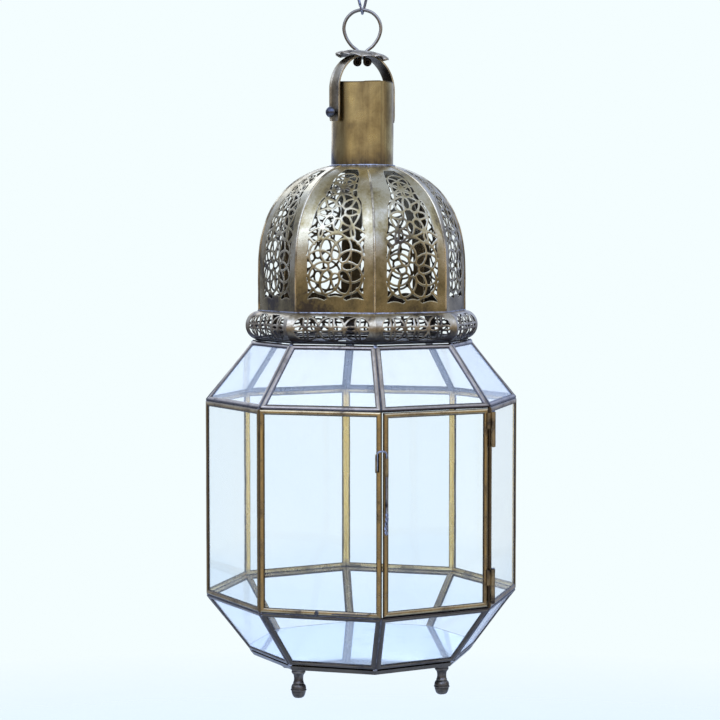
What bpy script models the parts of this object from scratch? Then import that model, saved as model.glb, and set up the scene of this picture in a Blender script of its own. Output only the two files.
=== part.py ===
"""Hanging lantern: a turned-metal and glass body of eight sides under a pierced dome, with a bail, ring and link.

Metres, +Z up, standing on its four feet at z = 0. Corners lie at 22.5 degrees from the axes, and the door faces -Y.
"""

import math

import bmesh
import bpy
from mathutils import Matrix, Vector

SIDES = 8
TURN = 2 * math.pi / SIDES
HALF = TURN / 2
GAP = 0.0003

# How far a cutter runs past what it cuts, and the angle past which an edge of a round piece stays sharp.
BEYOND = 0.0100
SHARP_ANGLE = math.radians(35)

# Heights of the body's levels.
Z_BASE = 0.0285
Z_CAGE_FOOT = 0.0334
Z_LOW = 0.0905
Z_HIGH = 0.2855
Z_SHOULDER = 0.3450
Z_DOME = 0.3745
Z_SPRING = 0.4100
Z_DOME_TOP = 0.5166
Z_NECK = 0.5172
Z_NECK_TOP = 0.6010
Z_PIVOT = 0.5700
Z_CROWN = 0.6280

# Radii to the corners of the eight-sided levels.
R_BASE = 0.1098
R_WIDE = 0.1575
R_SHOULDER = 0.1100
R_COLLAR = 0.1170
R_DOME = 0.1036
R_DOME_TOP = 0.0345
DOME_POWER = 2.45

# Folded came round each pane, and the glass in it.
CAME = 0.0056
WALL = 0.0040
GROOVE = 0.0026
GLASS = 0.0020
GROOVE_DEPTH = 0.0024
GLASS_HOLD = 0.0020

# Sheet, tube and wire.
SHEET = 0.0008
NECK_R = 0.0311
NECK_WALL = 0.0010
RING_WIRE_R = 0.0017
LINK_WIRE_R = 0.0014
LATCH_WIRE_R = 0.0009

# Door.
HINGE_GAP = 0.0006
LATCH_GAP = 0.0012
DOOR_GAP = 0.0006
HINGE_R = R_WIDE + 0.0026
KNUCKLE_R = 0.0021
KNUCKLE_BORE = 0.0013
PIN_R = 0.0010
KNUCKLE_LENGTH = 0.0165
LOWER_HINGE_Z = 0.0960
UPPER_HINGE_Z = 0.2470

# Bail and ring directions, as turns about the upright axis from -Y.
BAIL_TURN = math.radians(-81)
RING_TURN = math.radians(-29)
BAIL_HALF_SPAN = 0.0350
BAIL_WIDTH = 0.0150
BAIL_SHEET = 0.0014
BAIL_FLANGE = 0.0022

for leftover in list(bpy.data.objects):
    bpy.data.objects.remove(leftover, do_unlink=True)

lantern = bpy.data.collections.new("hanging_lantern")
cutters = bpy.data.collections.new("cutters")
bpy.context.scene.collection.children.link(lantern)
bpy.context.scene.collection.children.link(cutters)


def material(name, colour, metallic, roughness, transmission=0.0):
    made = bpy.data.materials.new(name)
    made.use_nodes = True
    shader = made.node_tree.nodes["Principled BSDF"]
    shader.inputs["Base Color"].default_value = (*colour, 1)
    shader.inputs["Metallic"].default_value = metallic
    shader.inputs["Roughness"].default_value = roughness
    shader.inputs["Transmission Weight"].default_value = transmission
    return made


def aged_brass(name):
    return material(name, (0.36, 0.26, 0.12), 1.0, 0.42)


def clear_glass(name):
    return material(name, (0.93, 0.97, 0.97), 0.0, 0.03, 1.0)


def steel(name):
    return material(name, (0.45, 0.46, 0.48), 1.0, 0.35)


def outward(turn):
    """The level direction that lies this turn about +Z from -Y."""
    return Vector((math.sin(turn), -math.cos(turn), 0))


def place(name, data, paint=None, matrix=None):
    """A finished object in the lantern, or a hidden cutter when it has no material."""
    obj = bpy.data.objects.new(name, data)
    if matrix is not None:
        obj.matrix_world = matrix
    if paint is None:
        obj.hide_render = True
        obj.display_type = "WIRE"
        cutters.objects.link(obj)
        return obj
    if data.users == 1:
        data.materials.append(paint)
    else:
        obj.material_slots[0].link = "OBJECT"
        obj.material_slots[0].material = paint
    lantern.objects.link(obj)
    return obj


def mesh_of(bm, name, smooth=False):
    data = bpy.data.meshes.new(name)
    bmesh.ops.recalc_face_normals(bm, faces=bm.faces)
    bm.to_mesh(data)
    bm.free()
    if smooth:
        data.shade_smooth()
        data.set_sharp_from_angle(angle=SHARP_ANGLE)
    return data


def frustum(bm, r_low, r_high, z_low, z_high):
    """Adds an eight-sided solid with flat sides, given its corner radii."""
    bmesh.ops.create_cone(
        bm,
        cap_ends=True,
        segments=SIDES,
        radius1=r_low,
        radius2=r_high,
        depth=z_high - z_low,
        matrix=Matrix.Translation((0, 0, (z_low + z_high) / 2)) @ Matrix.Rotation(HALF, 4, "Z"),
    )


def slab(bm, width_low, width_high, height, depth, matrix):
    """Adds a plate in the local XZ plane, standing on its origin, its width changing from foot to top."""
    made = bmesh.ops.create_cube(bm, size=1)
    for vert in made["verts"]:
        width = width_high if vert.co.z > 0 else width_low
        vert.co = Vector((vert.co.x * width, vert.co.y * depth, (vert.co.z + 0.5) * height))
    bmesh.ops.transform(bm, matrix=matrix, verts=made["verts"])


def wedge(bm, y_outer, y_inner, trim_left, trim_right, z_low, z_high):
    """Adds a plate facing -Y whose ends follow the mitres at the two corners beside it, less a trim."""
    made = bmesh.ops.create_cube(bm, size=1)
    for vert in made["verts"]:
        y = y_outer if vert.co.y < 0 else y_inner
        reach = -y * math.tan(HALF)
        x = reach - trim_right if vert.co.x > 0 else trim_left - reach
        vert.co = Vector((x, y, z_high if vert.co.z > 0 else z_low))


class Level:
    """One ring of eight panels between two corner radii, and the frame of each panel's plane."""

    def __init__(self, r_low, r_high, z_low, z_high):
        self.r_low, self.r_high, self.z_low, self.z_high = r_low, r_high, z_low, z_high
        run = (r_high - r_low) * math.cos(HALF)
        self.rise = math.hypot(run, z_high - z_low)
        self.lean = math.atan2(run, z_high - z_low)
        self.width_low = 2 * r_low * math.sin(HALF)
        self.width_high = 2 * r_high * math.sin(HALF)
        self.taper = math.atan2((self.width_high - self.width_low) / 2, self.rise)

    def panel(self, index):
        """Local X runs along the foot, Z up the slope, -Y outward, with the origin mid-wall."""
        turn = index * TURN
        foot = outward(turn) * self.r_low * math.cos(HALF) + Vector((0, 0, self.z_low))
        level = Matrix.Translation(foot) @ Matrix.Rotation(turn, 4, "Z")
        return level @ Matrix.Rotation(self.lean, 4, "X") @ Matrix.Translation((0, WALL / 2, 0))

    def pane(self, bm, index, inset, depth):
        """Adds the plate left inside an even inset from the panel's four edges."""
        slope = math.tan(self.taper)
        edge = inset / math.cos(self.taper)
        low = self.width_low + 2 * inset * slope - 2 * edge
        high = self.width_high - 2 * inset * slope - 2 * edge
        lift = Matrix.Translation((0, 0, inset))
        slab(bm, low, high, self.rise - 2 * inset, depth, self.panel(index) @ lift)

    def inner(self, bm, reach):
        """Adds the space inside the wall, carried past both ends."""
        steep = (self.r_high - self.r_low) / (self.z_high - self.z_low)
        back = WALL / math.cos(self.lean) / math.cos(HALF)
        frustum(
            bm,
            self.r_low - back - steep * reach,
            self.r_high - back + steep * reach,
            self.z_low - reach,
            self.z_high + reach,
        )


def cut(obj, cutter, operation="DIFFERENCE"):
    step = obj.modifiers.new(cutter.name, "BOOLEAN")
    step.operation = operation
    step.solver = "EXACT"
    step.object = cutter


def cage(name, level, panes, door=False):
    """A soldered cage of cames: an eight-sided wall, open at every pane and grooved for its glass."""
    bm = bmesh.new()
    frustum(bm, level.r_low, level.r_high, level.z_low, level.z_high)
    obj = place(name, mesh_of(bm, name), aged_brass(name))
    bm = bmesh.new()
    level.inner(bm, BEYOND)
    cut(obj, place(name + ".room", mesh_of(bm, name + ".room")))
    bm = bmesh.new()
    for index in panes:
        level.pane(bm, index, CAME, 4 * WALL)
    cut(obj, place(name + ".windows", mesh_of(bm, name + ".windows")))
    bm = bmesh.new()
    for index in panes:
        level.pane(bm, index, CAME - GROOVE_DEPTH, GROOVE)
    cut(obj, place(name + ".grooves", mesh_of(bm, name + ".grooves")))
    if door:
        bm = bmesh.new()
        doorway = (level.z_low - BEYOND, level.z_high + BEYOND)
        wedge(bm, -R_WIDE - BEYOND, BEYOND - R_WIDE * math.cos(HALF), 0, 0, *doorway)
        cut(obj, place(name + ".doorway", mesh_of(bm, name + ".doorway")))
    return obj


def glaze(name, level, panes):
    for index in panes:
        bm = bmesh.new()
        level.pane(bm, index, CAME - GLASS_HOLD, GLASS)
        title = f"{name}_{index + 1}"
        place(title, mesh_of(bm, title), clear_glass(title))


r_cage_foot = R_BASE + (R_WIDE - R_BASE) * (Z_CAGE_FOOT - Z_BASE) / (Z_LOW - Z_BASE)
lower = Level(r_cage_foot, R_WIDE, Z_CAGE_FOOT, Z_LOW)
side = Level(R_WIDE, R_WIDE, Z_LOW + GAP, Z_HIGH - GAP)
shoulder = Level(R_WIDE, R_SHOULDER, Z_HIGH, Z_SHOULDER)
base = Level(R_BASE, lower.r_low, Z_BASE, Z_CAGE_FOOT - GAP)

cage("lower_cage", lower, range(SIDES))
cage("side_cage", side, range(1, SIDES), door=True)
cage("shoulder_cage", shoulder, range(SIDES))
glaze("lower_glass", lower, range(SIDES))
glaze("side_glass", side, range(1, SIDES))
glaze("shoulder_glass", shoulder, range(SIDES))

# Base: an eight-sided rim round a level pane.
BASE_RIM = 0.0090
BASE_PANE_Z = 0.0309
BASE_GROOVE_DEPTH = 0.0040
bm = bmesh.new()
frustum(bm, base.r_low, base.r_high, base.z_low, base.z_high)
base_frame = place("base_frame", mesh_of(bm, "base_frame"), aged_brass("base_frame"))
bm = bmesh.new()
frustum(bm, R_BASE - BASE_RIM, R_BASE - BASE_RIM, Z_BASE - BEYOND, Z_CAGE_FOOT + BEYOND)
cut(base_frame, place("base_frame.room", mesh_of(bm, "base_frame.room")))
bm = bmesh.new()
half_groove = GROOVE / 2
groove_r = R_BASE - BASE_RIM + BASE_GROOVE_DEPTH
frustum(bm, groove_r, groove_r, BASE_PANE_Z - half_groove, BASE_PANE_Z + half_groove)
cut(base_frame, place("base_frame.groove", mesh_of(bm, "base_frame.groove")))
bm = bmesh.new()
half_glass = GLASS / 2
frustum(bm, groove_r - GAP, groove_r - GAP, BASE_PANE_Z - half_glass, BASE_PANE_Z + half_glass)
place("base_glass", mesh_of(bm, "base_glass"), clear_glass("base_glass"))


def lathe(name, points, steps, paint, closed, at=(0, 0, 0), spin=0.0):
    """Turns (radius, height) points about the local upright axis; they run top to bottom on the outer side."""
    edges = [(i, i + 1) for i in range(len(points) - 1)]
    if closed:
        edges.append((len(points) - 1, 0))
    data = bpy.data.meshes.new(name)
    data.from_pydata([(r, 0, z) for r, z in points], edges, [])
    place_at = Matrix.Translation(at) @ Matrix.Rotation(spin, 4, "Z")
    obj = place(name, data, paint, place_at)
    screw = obj.modifiers.new("turn", "SCREW")
    screw.axis = "Z"
    screw.steps = steps
    screw.render_steps = steps
    screw.use_smooth_shade = True
    screw.use_merge_vertices = True
    screw.merge_threshold = 0.00001
    return obj


# Feet under four of the base corners: a flared cap, a stem and a ridged ball.
FOOT_CIRCLE = 0.0995
FOOT = (
    (0.0, -GAP),
    (0.0056, -GAP),
    (0.0060, -0.0018),
    (0.0040, -0.0042),
    (0.0034, -0.0090),
    (0.0044, -0.0118),
    (0.0066, -0.0152),
    (0.0074, -0.0180),
    (0.0077, -0.0192),
    (0.0074, -0.0204),
    (0.0064, -0.0240),
    (0.0046, -0.0272),
    (0.0034, -Z_BASE),
    (0.0, -Z_BASE),
)
for number in range(4):
    spot = outward(HALF + number * math.pi / 2) * FOOT_CIRCLE + Vector((0, 0, Z_BASE))
    title = f"foot_{number + 1}"
    lathe(title, FOOT, 16, aged_brass(title), False, spot)

# Collar: a half-round pierced band with mitred corners, open behind.
COLLAR_POINTS = 7
Z_COLLAR_LOW = Z_SHOULDER + GAP
Z_COLLAR_HIGH = Z_DOME - GAP


def half_round(r_edge, bulge, z_low, z_high, count):
    """(radius, height) points from top to bottom round half an oval."""
    mid, tall = (z_low + z_high) / 2, (z_high - z_low) / 2
    angles = [math.pi * i / (count - 1) for i in range(count)]
    return [(r_edge + bulge * math.sin(a), mid + tall * math.cos(a)) for a in angles]


collar_outer = half_round(R_DOME, R_COLLAR - R_DOME, Z_COLLAR_LOW, Z_COLLAR_HIGH, COLLAR_POINTS)
collar_inner = half_round(
    R_DOME, R_COLLAR - R_DOME - SHEET, Z_COLLAR_LOW + SHEET, Z_COLLAR_HIGH - SHEET, COLLAR_POINTS
)
collar = lathe("collar", collar_outer + collar_inner[::-1], SIDES, aged_brass("collar"), True, spin=HALF)


def peg(bm, radius, corners, depth, matrix):
    bmesh.ops.create_cone(
        bm, cap_ends=True, segments=corners, radius1=radius, radius2=radius, depth=depth, matrix=matrix
    )


COLLAR_HOLES = 5
COLLAR_HOLE_R = 0.0058
COLLAR_PITCH = 2.35 * COLLAR_HOLE_R
HOLE_DEPTH = 0.0120
bm = bmesh.new()
for index in range(SIDES):
    toward = outward(index * TURN)
    along = Vector((-toward.y, toward.x, 0))
    for hole in range(COLLAR_HOLES):
        offset = (hole - (COLLAR_HOLES - 1) / 2) * COLLAR_PITCH
        centre = toward * (R_COLLAR * math.cos(HALF)) + along * offset
        centre.z = (Z_SHOULDER + Z_DOME) / 2
        facing = toward.to_track_quat("Z", "Y").to_matrix().to_4x4()
        peg(bm, COLLAR_HOLE_R, 6, HOLE_DEPTH, Matrix.Translation(centre) @ facing)
cut(collar, place("collar.holes", mesh_of(bm, "collar.holes")))

# Dome: eight gores, flat across and curved upward, each pierced with two rosettes.
GORE_ROWS = 12
GORE_EDGE = 0.0006
SPRING_SHARE = 0.2
DOME_TOP_ANGLE = math.acos((R_DOME_TOP / R_DOME) ** (DOME_POWER / 2))
DOME_RISE = (Z_DOME_TOP - Z_SPRING) / math.sin(DOME_TOP_ANGLE) ** (2 / DOME_POWER)


def dome_corner(share):
    """(corner radius, height) this share of the way up a gore: upright, then over a squared-off oval."""
    if share < SPRING_SHARE:
        return R_DOME, Z_DOME + (Z_SPRING - Z_DOME) * share / SPRING_SHARE
    angle = DOME_TOP_ANGLE * (share - SPRING_SHARE) / (1 - SPRING_SHARE)
    radius = R_DOME * math.cos(angle) ** (2 / DOME_POWER)
    return radius, Z_SPRING + DOME_RISE * math.sin(angle) ** (2 / DOME_POWER)


def gore_point(share, across):
    """A point on the gore that faces -Y; across is in metres."""
    radius, height = dome_corner(share)
    return Vector((across, -radius * math.cos(HALF), height))


SLOPE_STEP = 0.004


def gore_facing(share, across):
    """A matrix whose Z looks out of the gore at this point."""
    rise = gore_point(share + SLOPE_STEP, 0) - gore_point(share - SLOPE_STEP, 0)
    normal = Vector((1, 0, 0)).cross(rise).normalized()
    turn = normal.to_track_quat("Z", "Y").to_matrix().to_4x4()
    return Matrix.Translation(gore_point(share, across)) @ turn


# Holes in a gore: the rosettes as (share, ring radius, hole radius), one hole near the crown, two at the foot.
ROSETTES = ((0.27, 0.0185, 0.0085), (0.59, 0.0165, 0.0075))
PETAL_SHARE = 0.82
GORE_LENGTH = 0.1650
CROWN_HOLE_SHARE, CROWN_HOLE_R = 0.80, 0.0052
FOOT_HOLE_SHARE, FOOT_HOLE_R, FOOT_HOLE_REACH = 0.09, 0.0042, 0.0235


def rosette(bm, share, ring_r, hole_r):
    """Adds cutters for one hole with six round it."""
    peg(bm, hole_r, 6, HOLE_DEPTH, gore_facing(share, 0))
    for spoke in range(6):
        angle = math.radians(30 + 60 * spoke)
        up, across = ring_r * math.sin(angle), ring_r * math.cos(angle)
        peg(bm, hole_r * PETAL_SHARE, 6, HOLE_DEPTH, gore_facing(share + up / GORE_LENGTH, across))


bm = bmesh.new()
bmesh.ops.create_grid(bm, x_segments=1, y_segments=GORE_ROWS, size=1)
for vert in bm.verts:
    share = (vert.co.y + 1) / 2
    radius, height = dome_corner(share)
    half_width = radius * math.sin(HALF) - GORE_EDGE
    vert.co = Vector((math.copysign(half_width, vert.co.x), -radius * math.cos(HALF), height))
bmesh.ops.recalc_face_normals(bm, faces=bm.faces)
if sum(face.normal.y * face.calc_area() for face in bm.faces) > 0:
    bmesh.ops.reverse_faces(bm, faces=bm.faces)
blank_mesh = bpy.data.meshes.new("gore_blank")
bm.to_mesh(blank_mesh)
bm.free()
blank = place("gore_blank", blank_mesh)
sheet = blank.modifiers.new("sheet", "SOLIDIFY")
sheet.thickness = SHEET
sheet.offset = -1
bm = bmesh.new()
for share, ring_r, hole_r in ROSETTES:
    rosette(bm, share, ring_r, hole_r)
peg(bm, CROWN_HOLE_R, 6, HOLE_DEPTH, gore_facing(CROWN_HOLE_SHARE, 0.0))
for across in (-FOOT_HOLE_REACH, FOOT_HOLE_REACH):
    peg(bm, FOOT_HOLE_R, 6, HOLE_DEPTH, gore_facing(FOOT_HOLE_SHARE, across))
cut(blank, place("gore_holes", mesh_of(bm, "gore_holes")))
bpy.context.view_layer.update()
graph = bpy.context.evaluated_depsgraph_get()
gore_mesh = bpy.data.meshes.new_from_object(blank.evaluated_get(graph))
gore_mesh.name = "gore"
gore_mesh.materials.clear()
gore_mesh.materials.append(aged_brass("dome_gore_1"))
for index in range(SIDES):
    gore = bpy.data.objects.new(f"dome_gore_{index + 1}", gore_mesh)
    gore.rotation_euler.z = index * TURN
    lantern.objects.link(gore)
    if index:
        gore.material_slots[0].link = "OBJECT"
        gore.material_slots[0].material = aged_brass(gore.name)

# Neck: a tube open at the top, on a soldered ring.
inside = NECK_R - NECK_WALL
NECK = ((NECK_R, Z_NECK_TOP), (NECK_R, Z_NECK), (inside, Z_NECK), (inside, Z_NECK_TOP))
neck = lathe("neck_tube", NECK, 32, aged_brass("neck_tube"), True)
NECK_RING = (
    (NECK_R + GAP, Z_NECK + 0.0020),
    (NECK_R + 0.0016, Z_NECK + 0.0018),
    (NECK_R + 0.0032, Z_NECK + 0.0004),
    (NECK_R + 0.0032, Z_NECK - 0.0006),
    (NECK_R + GAP, Z_NECK - 0.0006),
)
lathe("neck_ring", NECK_RING, 24, aged_brass("neck_ring"), True)

# Door: one framed pane on two pin hinges, with a wire latch.
door_frame_z = (Z_LOW + DOOR_GAP, Z_HIGH - DOOR_GAP)
face_y = -R_WIDE * math.cos(HALF)
hinge_point = outward(HALF) * HINGE_R
door_hinge = bpy.data.objects.new("door_hinge_axis", None)
door_hinge.location = hinge_point
lantern.objects.link(door_hinge)


def on_door(obj):
    """Hangs a piece on the door's hinge axis, leaving it where it is."""
    obj.parent = door_hinge
    obj.matrix_parent_inverse = Matrix.Translation(-hinge_point)
    return obj


bm = bmesh.new()
wedge(bm, face_y, face_y + WALL, LATCH_GAP, HINGE_GAP, *door_frame_z)
door_frame = on_door(place("door_frame", mesh_of(bm, "door_frame"), aged_brass("door_frame")))
door_low, door_high = -face_y * math.tan(HALF), door_frame_z[1] - door_frame_z[0]
door_left, door_right = LATCH_GAP - door_low, door_low - HINGE_GAP
door_mid, door_wide = (door_left + door_right) / 2, door_right - door_left


def door_pane(bm, inset, depth):
    spot = Matrix.Translation((door_mid, face_y + WALL / 2, door_frame_z[0] + inset))
    slab(bm, door_wide - 2 * inset, door_wide - 2 * inset, door_high - 2 * inset, depth, spot)


bm = bmesh.new()
door_pane(bm, CAME, 4 * WALL)
cut(door_frame, place("door_frame.window", mesh_of(bm, "door_frame.window")))
bm = bmesh.new()
door_pane(bm, CAME - GROOVE_DEPTH + DOOR_GAP, GROOVE)
cut(door_frame, place("door_frame.groove", mesh_of(bm, "door_frame.groove")))
bm = bmesh.new()
door_pane(bm, CAME - GLASS_HOLD + DOOR_GAP, GLASS)
on_door(place("door_glass", mesh_of(bm, "door_glass"), clear_glass("door_glass")))


LEAF_DEEP = 0.0009
LEAF_WIDE = 0.0062
LEAF_SINK = 0.0007
LEAF_SHORT = 0.0008


def knuckle(name, z_low, turn):
    """A hinge barrel with a leaf soldered to the came beside the corner."""
    bm = bmesh.new()
    peg(bm, KNUCKLE_R, 16, KNUCKLE_LENGTH, Matrix.Translation((0, 0, KNUCKLE_LENGTH / 2)))
    spot = hinge_point + Vector((0, 0, z_low))
    obj = place(name, mesh_of(bm, name, True), aged_brass(name), Matrix.Translation(spot))
    bm = bmesh.new()
    side_step = LEAF_WIDE / 2 if turn > 0 else -LEAF_WIDE / 2
    settle = Matrix.Rotation(turn, 4, "Z") @ Matrix.Translation((side_step, KNUCKLE_R - LEAF_SINK, LEAF_SHORT))
    slab(bm, LEAF_WIDE, LEAF_WIDE, KNUCKLE_LENGTH - 2 * LEAF_SHORT, LEAF_DEEP, settle)
    leaf = place(name + ".leaf", mesh_of(bm, name + ".leaf"), matrix=Matrix.Translation(spot))
    cut(obj, leaf, "UNION")
    bm = bmesh.new()
    peg(bm, KNUCKLE_BORE, 16, 2 * KNUCKLE_LENGTH, Matrix.Translation((0, 0, KNUCKLE_LENGTH / 2)))
    cut(obj, place(name + ".bore", mesh_of(bm, name + ".bore"), matrix=Matrix.Translation(spot)))
    return obj


PIN_TOP = 2 * KNUCKLE_LENGTH + 2 * GAP
HINGE_PIN = (
    (0.0, PIN_TOP + 0.0010),
    (0.0015, PIN_TOP + 0.0009),
    (0.0019, PIN_TOP + 0.0002),
    (PIN_R, PIN_TOP + 0.0001),
    (PIN_R, -0.0004),
    (0.0, -0.0004),
)
for title, z_low in (("lower", LOWER_HINGE_Z), ("upper", UPPER_HINGE_Z)):
    knuckle(f"{title}_hinge_fixed", z_low, TURN)
    on_door(knuckle(f"{title}_hinge_door", z_low + KNUCKLE_LENGTH + GAP, 0))
    pin_name = f"{title}_hinge_pin"
    lathe(pin_name, HINGE_PIN, 12, steel(pin_name), False, hinge_point + Vector((0, 0, z_low)))


def wire(name, points, radius, paint, closed=False, resolution=2, matrix=None):
    """A round wire along these points."""
    curve = bpy.data.curves.new(name, "CURVE")
    curve.dimensions = "3D"
    curve.bevel_depth = radius
    curve.bevel_resolution = resolution
    curve.use_fill_caps = not closed
    spline = curve.splines.new("POLY")
    spline.points.add(len(points) - 1)
    for point, place_at in zip(spline.points, points):
        point.co = (*place_at, 1)
    spline.use_cyclic_u = closed
    return place(name, curve, paint, matrix)


# Latch: a wire drop pin that slides in a tube on the door and hooks into an open clip on the fixed corner.
GUIDE_Z = (0.2247, 0.2416)
CLIP_Z = (0.2285, 0.2456)
LATCH_TOP = 0.2485
HOOK_FOOT = 0.2310
PULL_TOP = 0.1920
PULL_FOOT = 0.1700
TUBE_R = 0.0019
TUBE_BORE = 0.0013
TUBE_CUT = 0.0500
GUIDE_INSET = 0.0042
CLIP_INSET = 0.0036
ARCH_RISE = 0.0030
ARCH_BOW = 0.0014
PULL_WAVE = 0.0016
door_corner = outward(-HALF) * R_WIDE
guide_axis = Vector((door_corner.x + GUIDE_INSET, face_y - TUBE_R - GAP, 0))
next_face = outward(-TURN)
next_along = Vector((-math.cos(TURN), math.sin(TURN), 0))
clip_axis = door_corner + next_along * CLIP_INSET + next_face * (TUBE_R + GAP)


def wire_tube(name, axis, z_span):
    """An upright tube bored for the latch wire, round this axis."""
    bm = bmesh.new()
    peg(bm, TUBE_R, 16, z_span[1] - z_span[0], Matrix())
    spot = Matrix.Translation(axis + Vector((0, 0, sum(z_span) / 2)))
    obj = place(name, mesh_of(bm, name, True), aged_brass(name), spot)
    bm = bmesh.new()
    peg(bm, TUBE_BORE, 16, TUBE_CUT, Matrix())
    cut(obj, place(name + ".bore", mesh_of(bm, name + ".bore"), matrix=spot))
    return obj, spot



guide, guide_spot = wire_tube("latch_guide", guide_axis, GUIDE_Z)
on_door(guide)
clip, clip_spot = wire_tube("latch_clip", clip_axis, CLIP_Z)
bm = bmesh.new()
mouth_wide, mouth_deep = 2 * TUBE_BORE, 0.0040
slab(bm, mouth_wide, mouth_wide, TUBE_CUT, mouth_deep, Matrix.Translation((0, -mouth_deep / 2, -TUBE_CUT / 2)))
cut(clip, place("latch_clip.mouth", mesh_of(bm, "latch_clip.mouth"), matrix=clip_spot))

hook_points = [Vector((clip_axis.x, clip_axis.y, HOOK_FOOT))]
middle = (clip_axis + guide_axis) / 2
half_reach = (guide_axis - clip_axis) / 2
for step in range(7):
    angle = math.pi * step / 6
    spot = middle - half_reach * math.cos(angle) + outward(-HALF) * ARCH_BOW * math.sin(angle)
    hook_points.append(Vector((spot.x, spot.y, LATCH_TOP - ARCH_RISE + ARCH_RISE * math.sin(angle))))
hook_points.append(Vector((guide_axis.x, guide_axis.y, PULL_TOP)))
for step in range(1, 9):
    share = step / 8
    sway = PULL_WAVE * math.sin(math.pi * 3 * share)
    reach = PULL_WAVE * (math.cos(math.pi * 3 * share) - 1)
    z = PULL_TOP + (PULL_FOOT - PULL_TOP) * share
    hook_points.append(Vector((guide_axis.x + sway, guide_axis.y + reach * 0.5, z)))
latch_slide = bpy.data.objects.new("latch_slide_axis", None)
latch_slide.location = guide_axis
lantern.objects.link(latch_slide)
on_door(latch_slide)
latch_slide.location = guide_axis
latch = wire(
    "latch_pin",
    [point - guide_axis for point in hook_points],
    LATCH_WIRE_R,
    steel("latch_pin"),
)
latch.parent = latch_slide

# Bail: a channel strap over the neck, on two round-headed rivets.
bail_axis = bpy.data.objects.new("bail_axis", None)
bail_axis.location = (0, 0, Z_PIVOT)
bail_axis.rotation_euler.z = BAIL_TURN
lantern.objects.link(bail_axis)
LEG_FOOT = -0.0085
ARCH_Z = Z_CROWN - Z_PIVOT - BAIL_HALF_SPAN
ARCH_STEPS = 14


def arch_points(offset):
    """(outward, up) points of the strap's path, set off this far outward."""
    span = BAIL_HALF_SPAN + offset
    points = [(-span, LEG_FOOT), (-span, ARCH_Z * 0.5)]
    for step in range(ARCH_STEPS + 1):
        angle = math.pi * (1 - step / ARCH_STEPS)
        points.append((span * math.cos(angle), ARCH_Z + span * math.sin(angle)))
    points += [(span, ARCH_Z * 0.5), (span, LEG_FOOT)]
    return points


def channel_section():
    """(across, outward) corners of the strap's section: a shallow channel, its lips turned outward."""
    w, s, lip = BAIL_WIDTH / 2, BAIL_SHEET, BAIL_FLANGE
    left = [(-w, lip - s), (-w, -s)]
    right = [(w, -s), (w, lip - s)]
    floor = [(w - s, lip - s), (w - s, 0), (s - w, 0), (s - w, lip - s)]
    return left + right + floor


def sweep(bm, section, path):
    """Lofts a section of (across, outward) points along the strap's path. Local Y is outward, X is across."""
    rings = []
    for across, offset in section:
        rings.append([bm.verts.new((across, -y, z)) for y, z in path(offset)])
    count = len(rings)
    for i in range(count):
        near, far = rings[i], rings[(i + 1) % count]
        for j in range(len(near) - 1):
            bm.faces.new((near[j], far[j], far[j + 1], near[j + 1]))
    bm.faces.new([ring[0] for ring in rings])
    bm.faces.new([ring[-1] for ring in rings])


bm = bmesh.new()
sweep(bm, channel_section(), arch_points)
bail = place("bail", mesh_of(bm, "bail"), aged_brass("bail"))
bail.parent = bail_axis
CROWN_HOLE = 0.0046
RIVET_R = 0.0020
RIVET_CUT = 0.1000
bm = bmesh.new()
peg(bm, CROWN_HOLE, 16, 2 * BEYOND, Matrix.Translation((0, 0, Z_CROWN - Z_PIVOT)))
crown_cut = place("bail.crown_hole", mesh_of(bm, "bail.crown_hole"))
crown_cut.parent = bail_axis
cut(bail, crown_cut)
for pierced in (bail, neck):
    bm = bmesh.new()
    peg(bm, RIVET_R + GAP, 16, RIVET_CUT, Matrix.Rotation(math.pi / 2, 4, "X"))
    title = pierced.name + ".rivet_holes"
    rivet_cut = place(title, mesh_of(bm, title))
    rivet_cut.parent = bail_axis
    cut(pierced, rivet_cut)

# Rivet profiles from head to tail: a round head clear of the strap's lips, and one hammered flat between them.
lip_face = BAIL_HALF_SPAN + BAIL_FLANGE - BAIL_SHEET + GAP
floor_face = BAIL_HALF_SPAN + GAP
tail_face = NECK_R - NECK_WALL - 0.0008
ROUND_HEAD = (
    (0.0, lip_face + 0.0085),
    (0.0028, lip_face + 0.0079),
    (0.0050, lip_face + 0.0058),
    (0.0057, lip_face + 0.0034),
    (0.0050, lip_face + 0.0008),
    (0.0040, lip_face),
    (RIVET_R, lip_face),
)
FLAT_HEAD = (
    (0.0, floor_face + 0.0018),
    (0.0024, floor_face + 0.0015),
    (0.0033, floor_face + 0.0006),
    (0.0033, floor_face),
    (RIVET_R, floor_face),
)
TAIL = (
    (RIVET_R, tail_face),
    (0.0036, tail_face - 0.0001),
    (0.0030, tail_face - 0.0016),
    (0.0, tail_face - 0.0018),
)
for title, flip, head in (("bail_rivet_1", 0, ROUND_HEAD), ("bail_rivet_2", math.pi, FLAT_HEAD)):
    rivet = lathe(title, head + TAIL, 16, steel(title), False)
    lay = Matrix.Rotation(BAIL_TURN + flip, 4, "Z") @ Matrix.Rotation(math.pi / 2, 4, "X")
    rivet.matrix_world = Matrix.Translation((0, 0, Z_PIVOT)) @ lay

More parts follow.
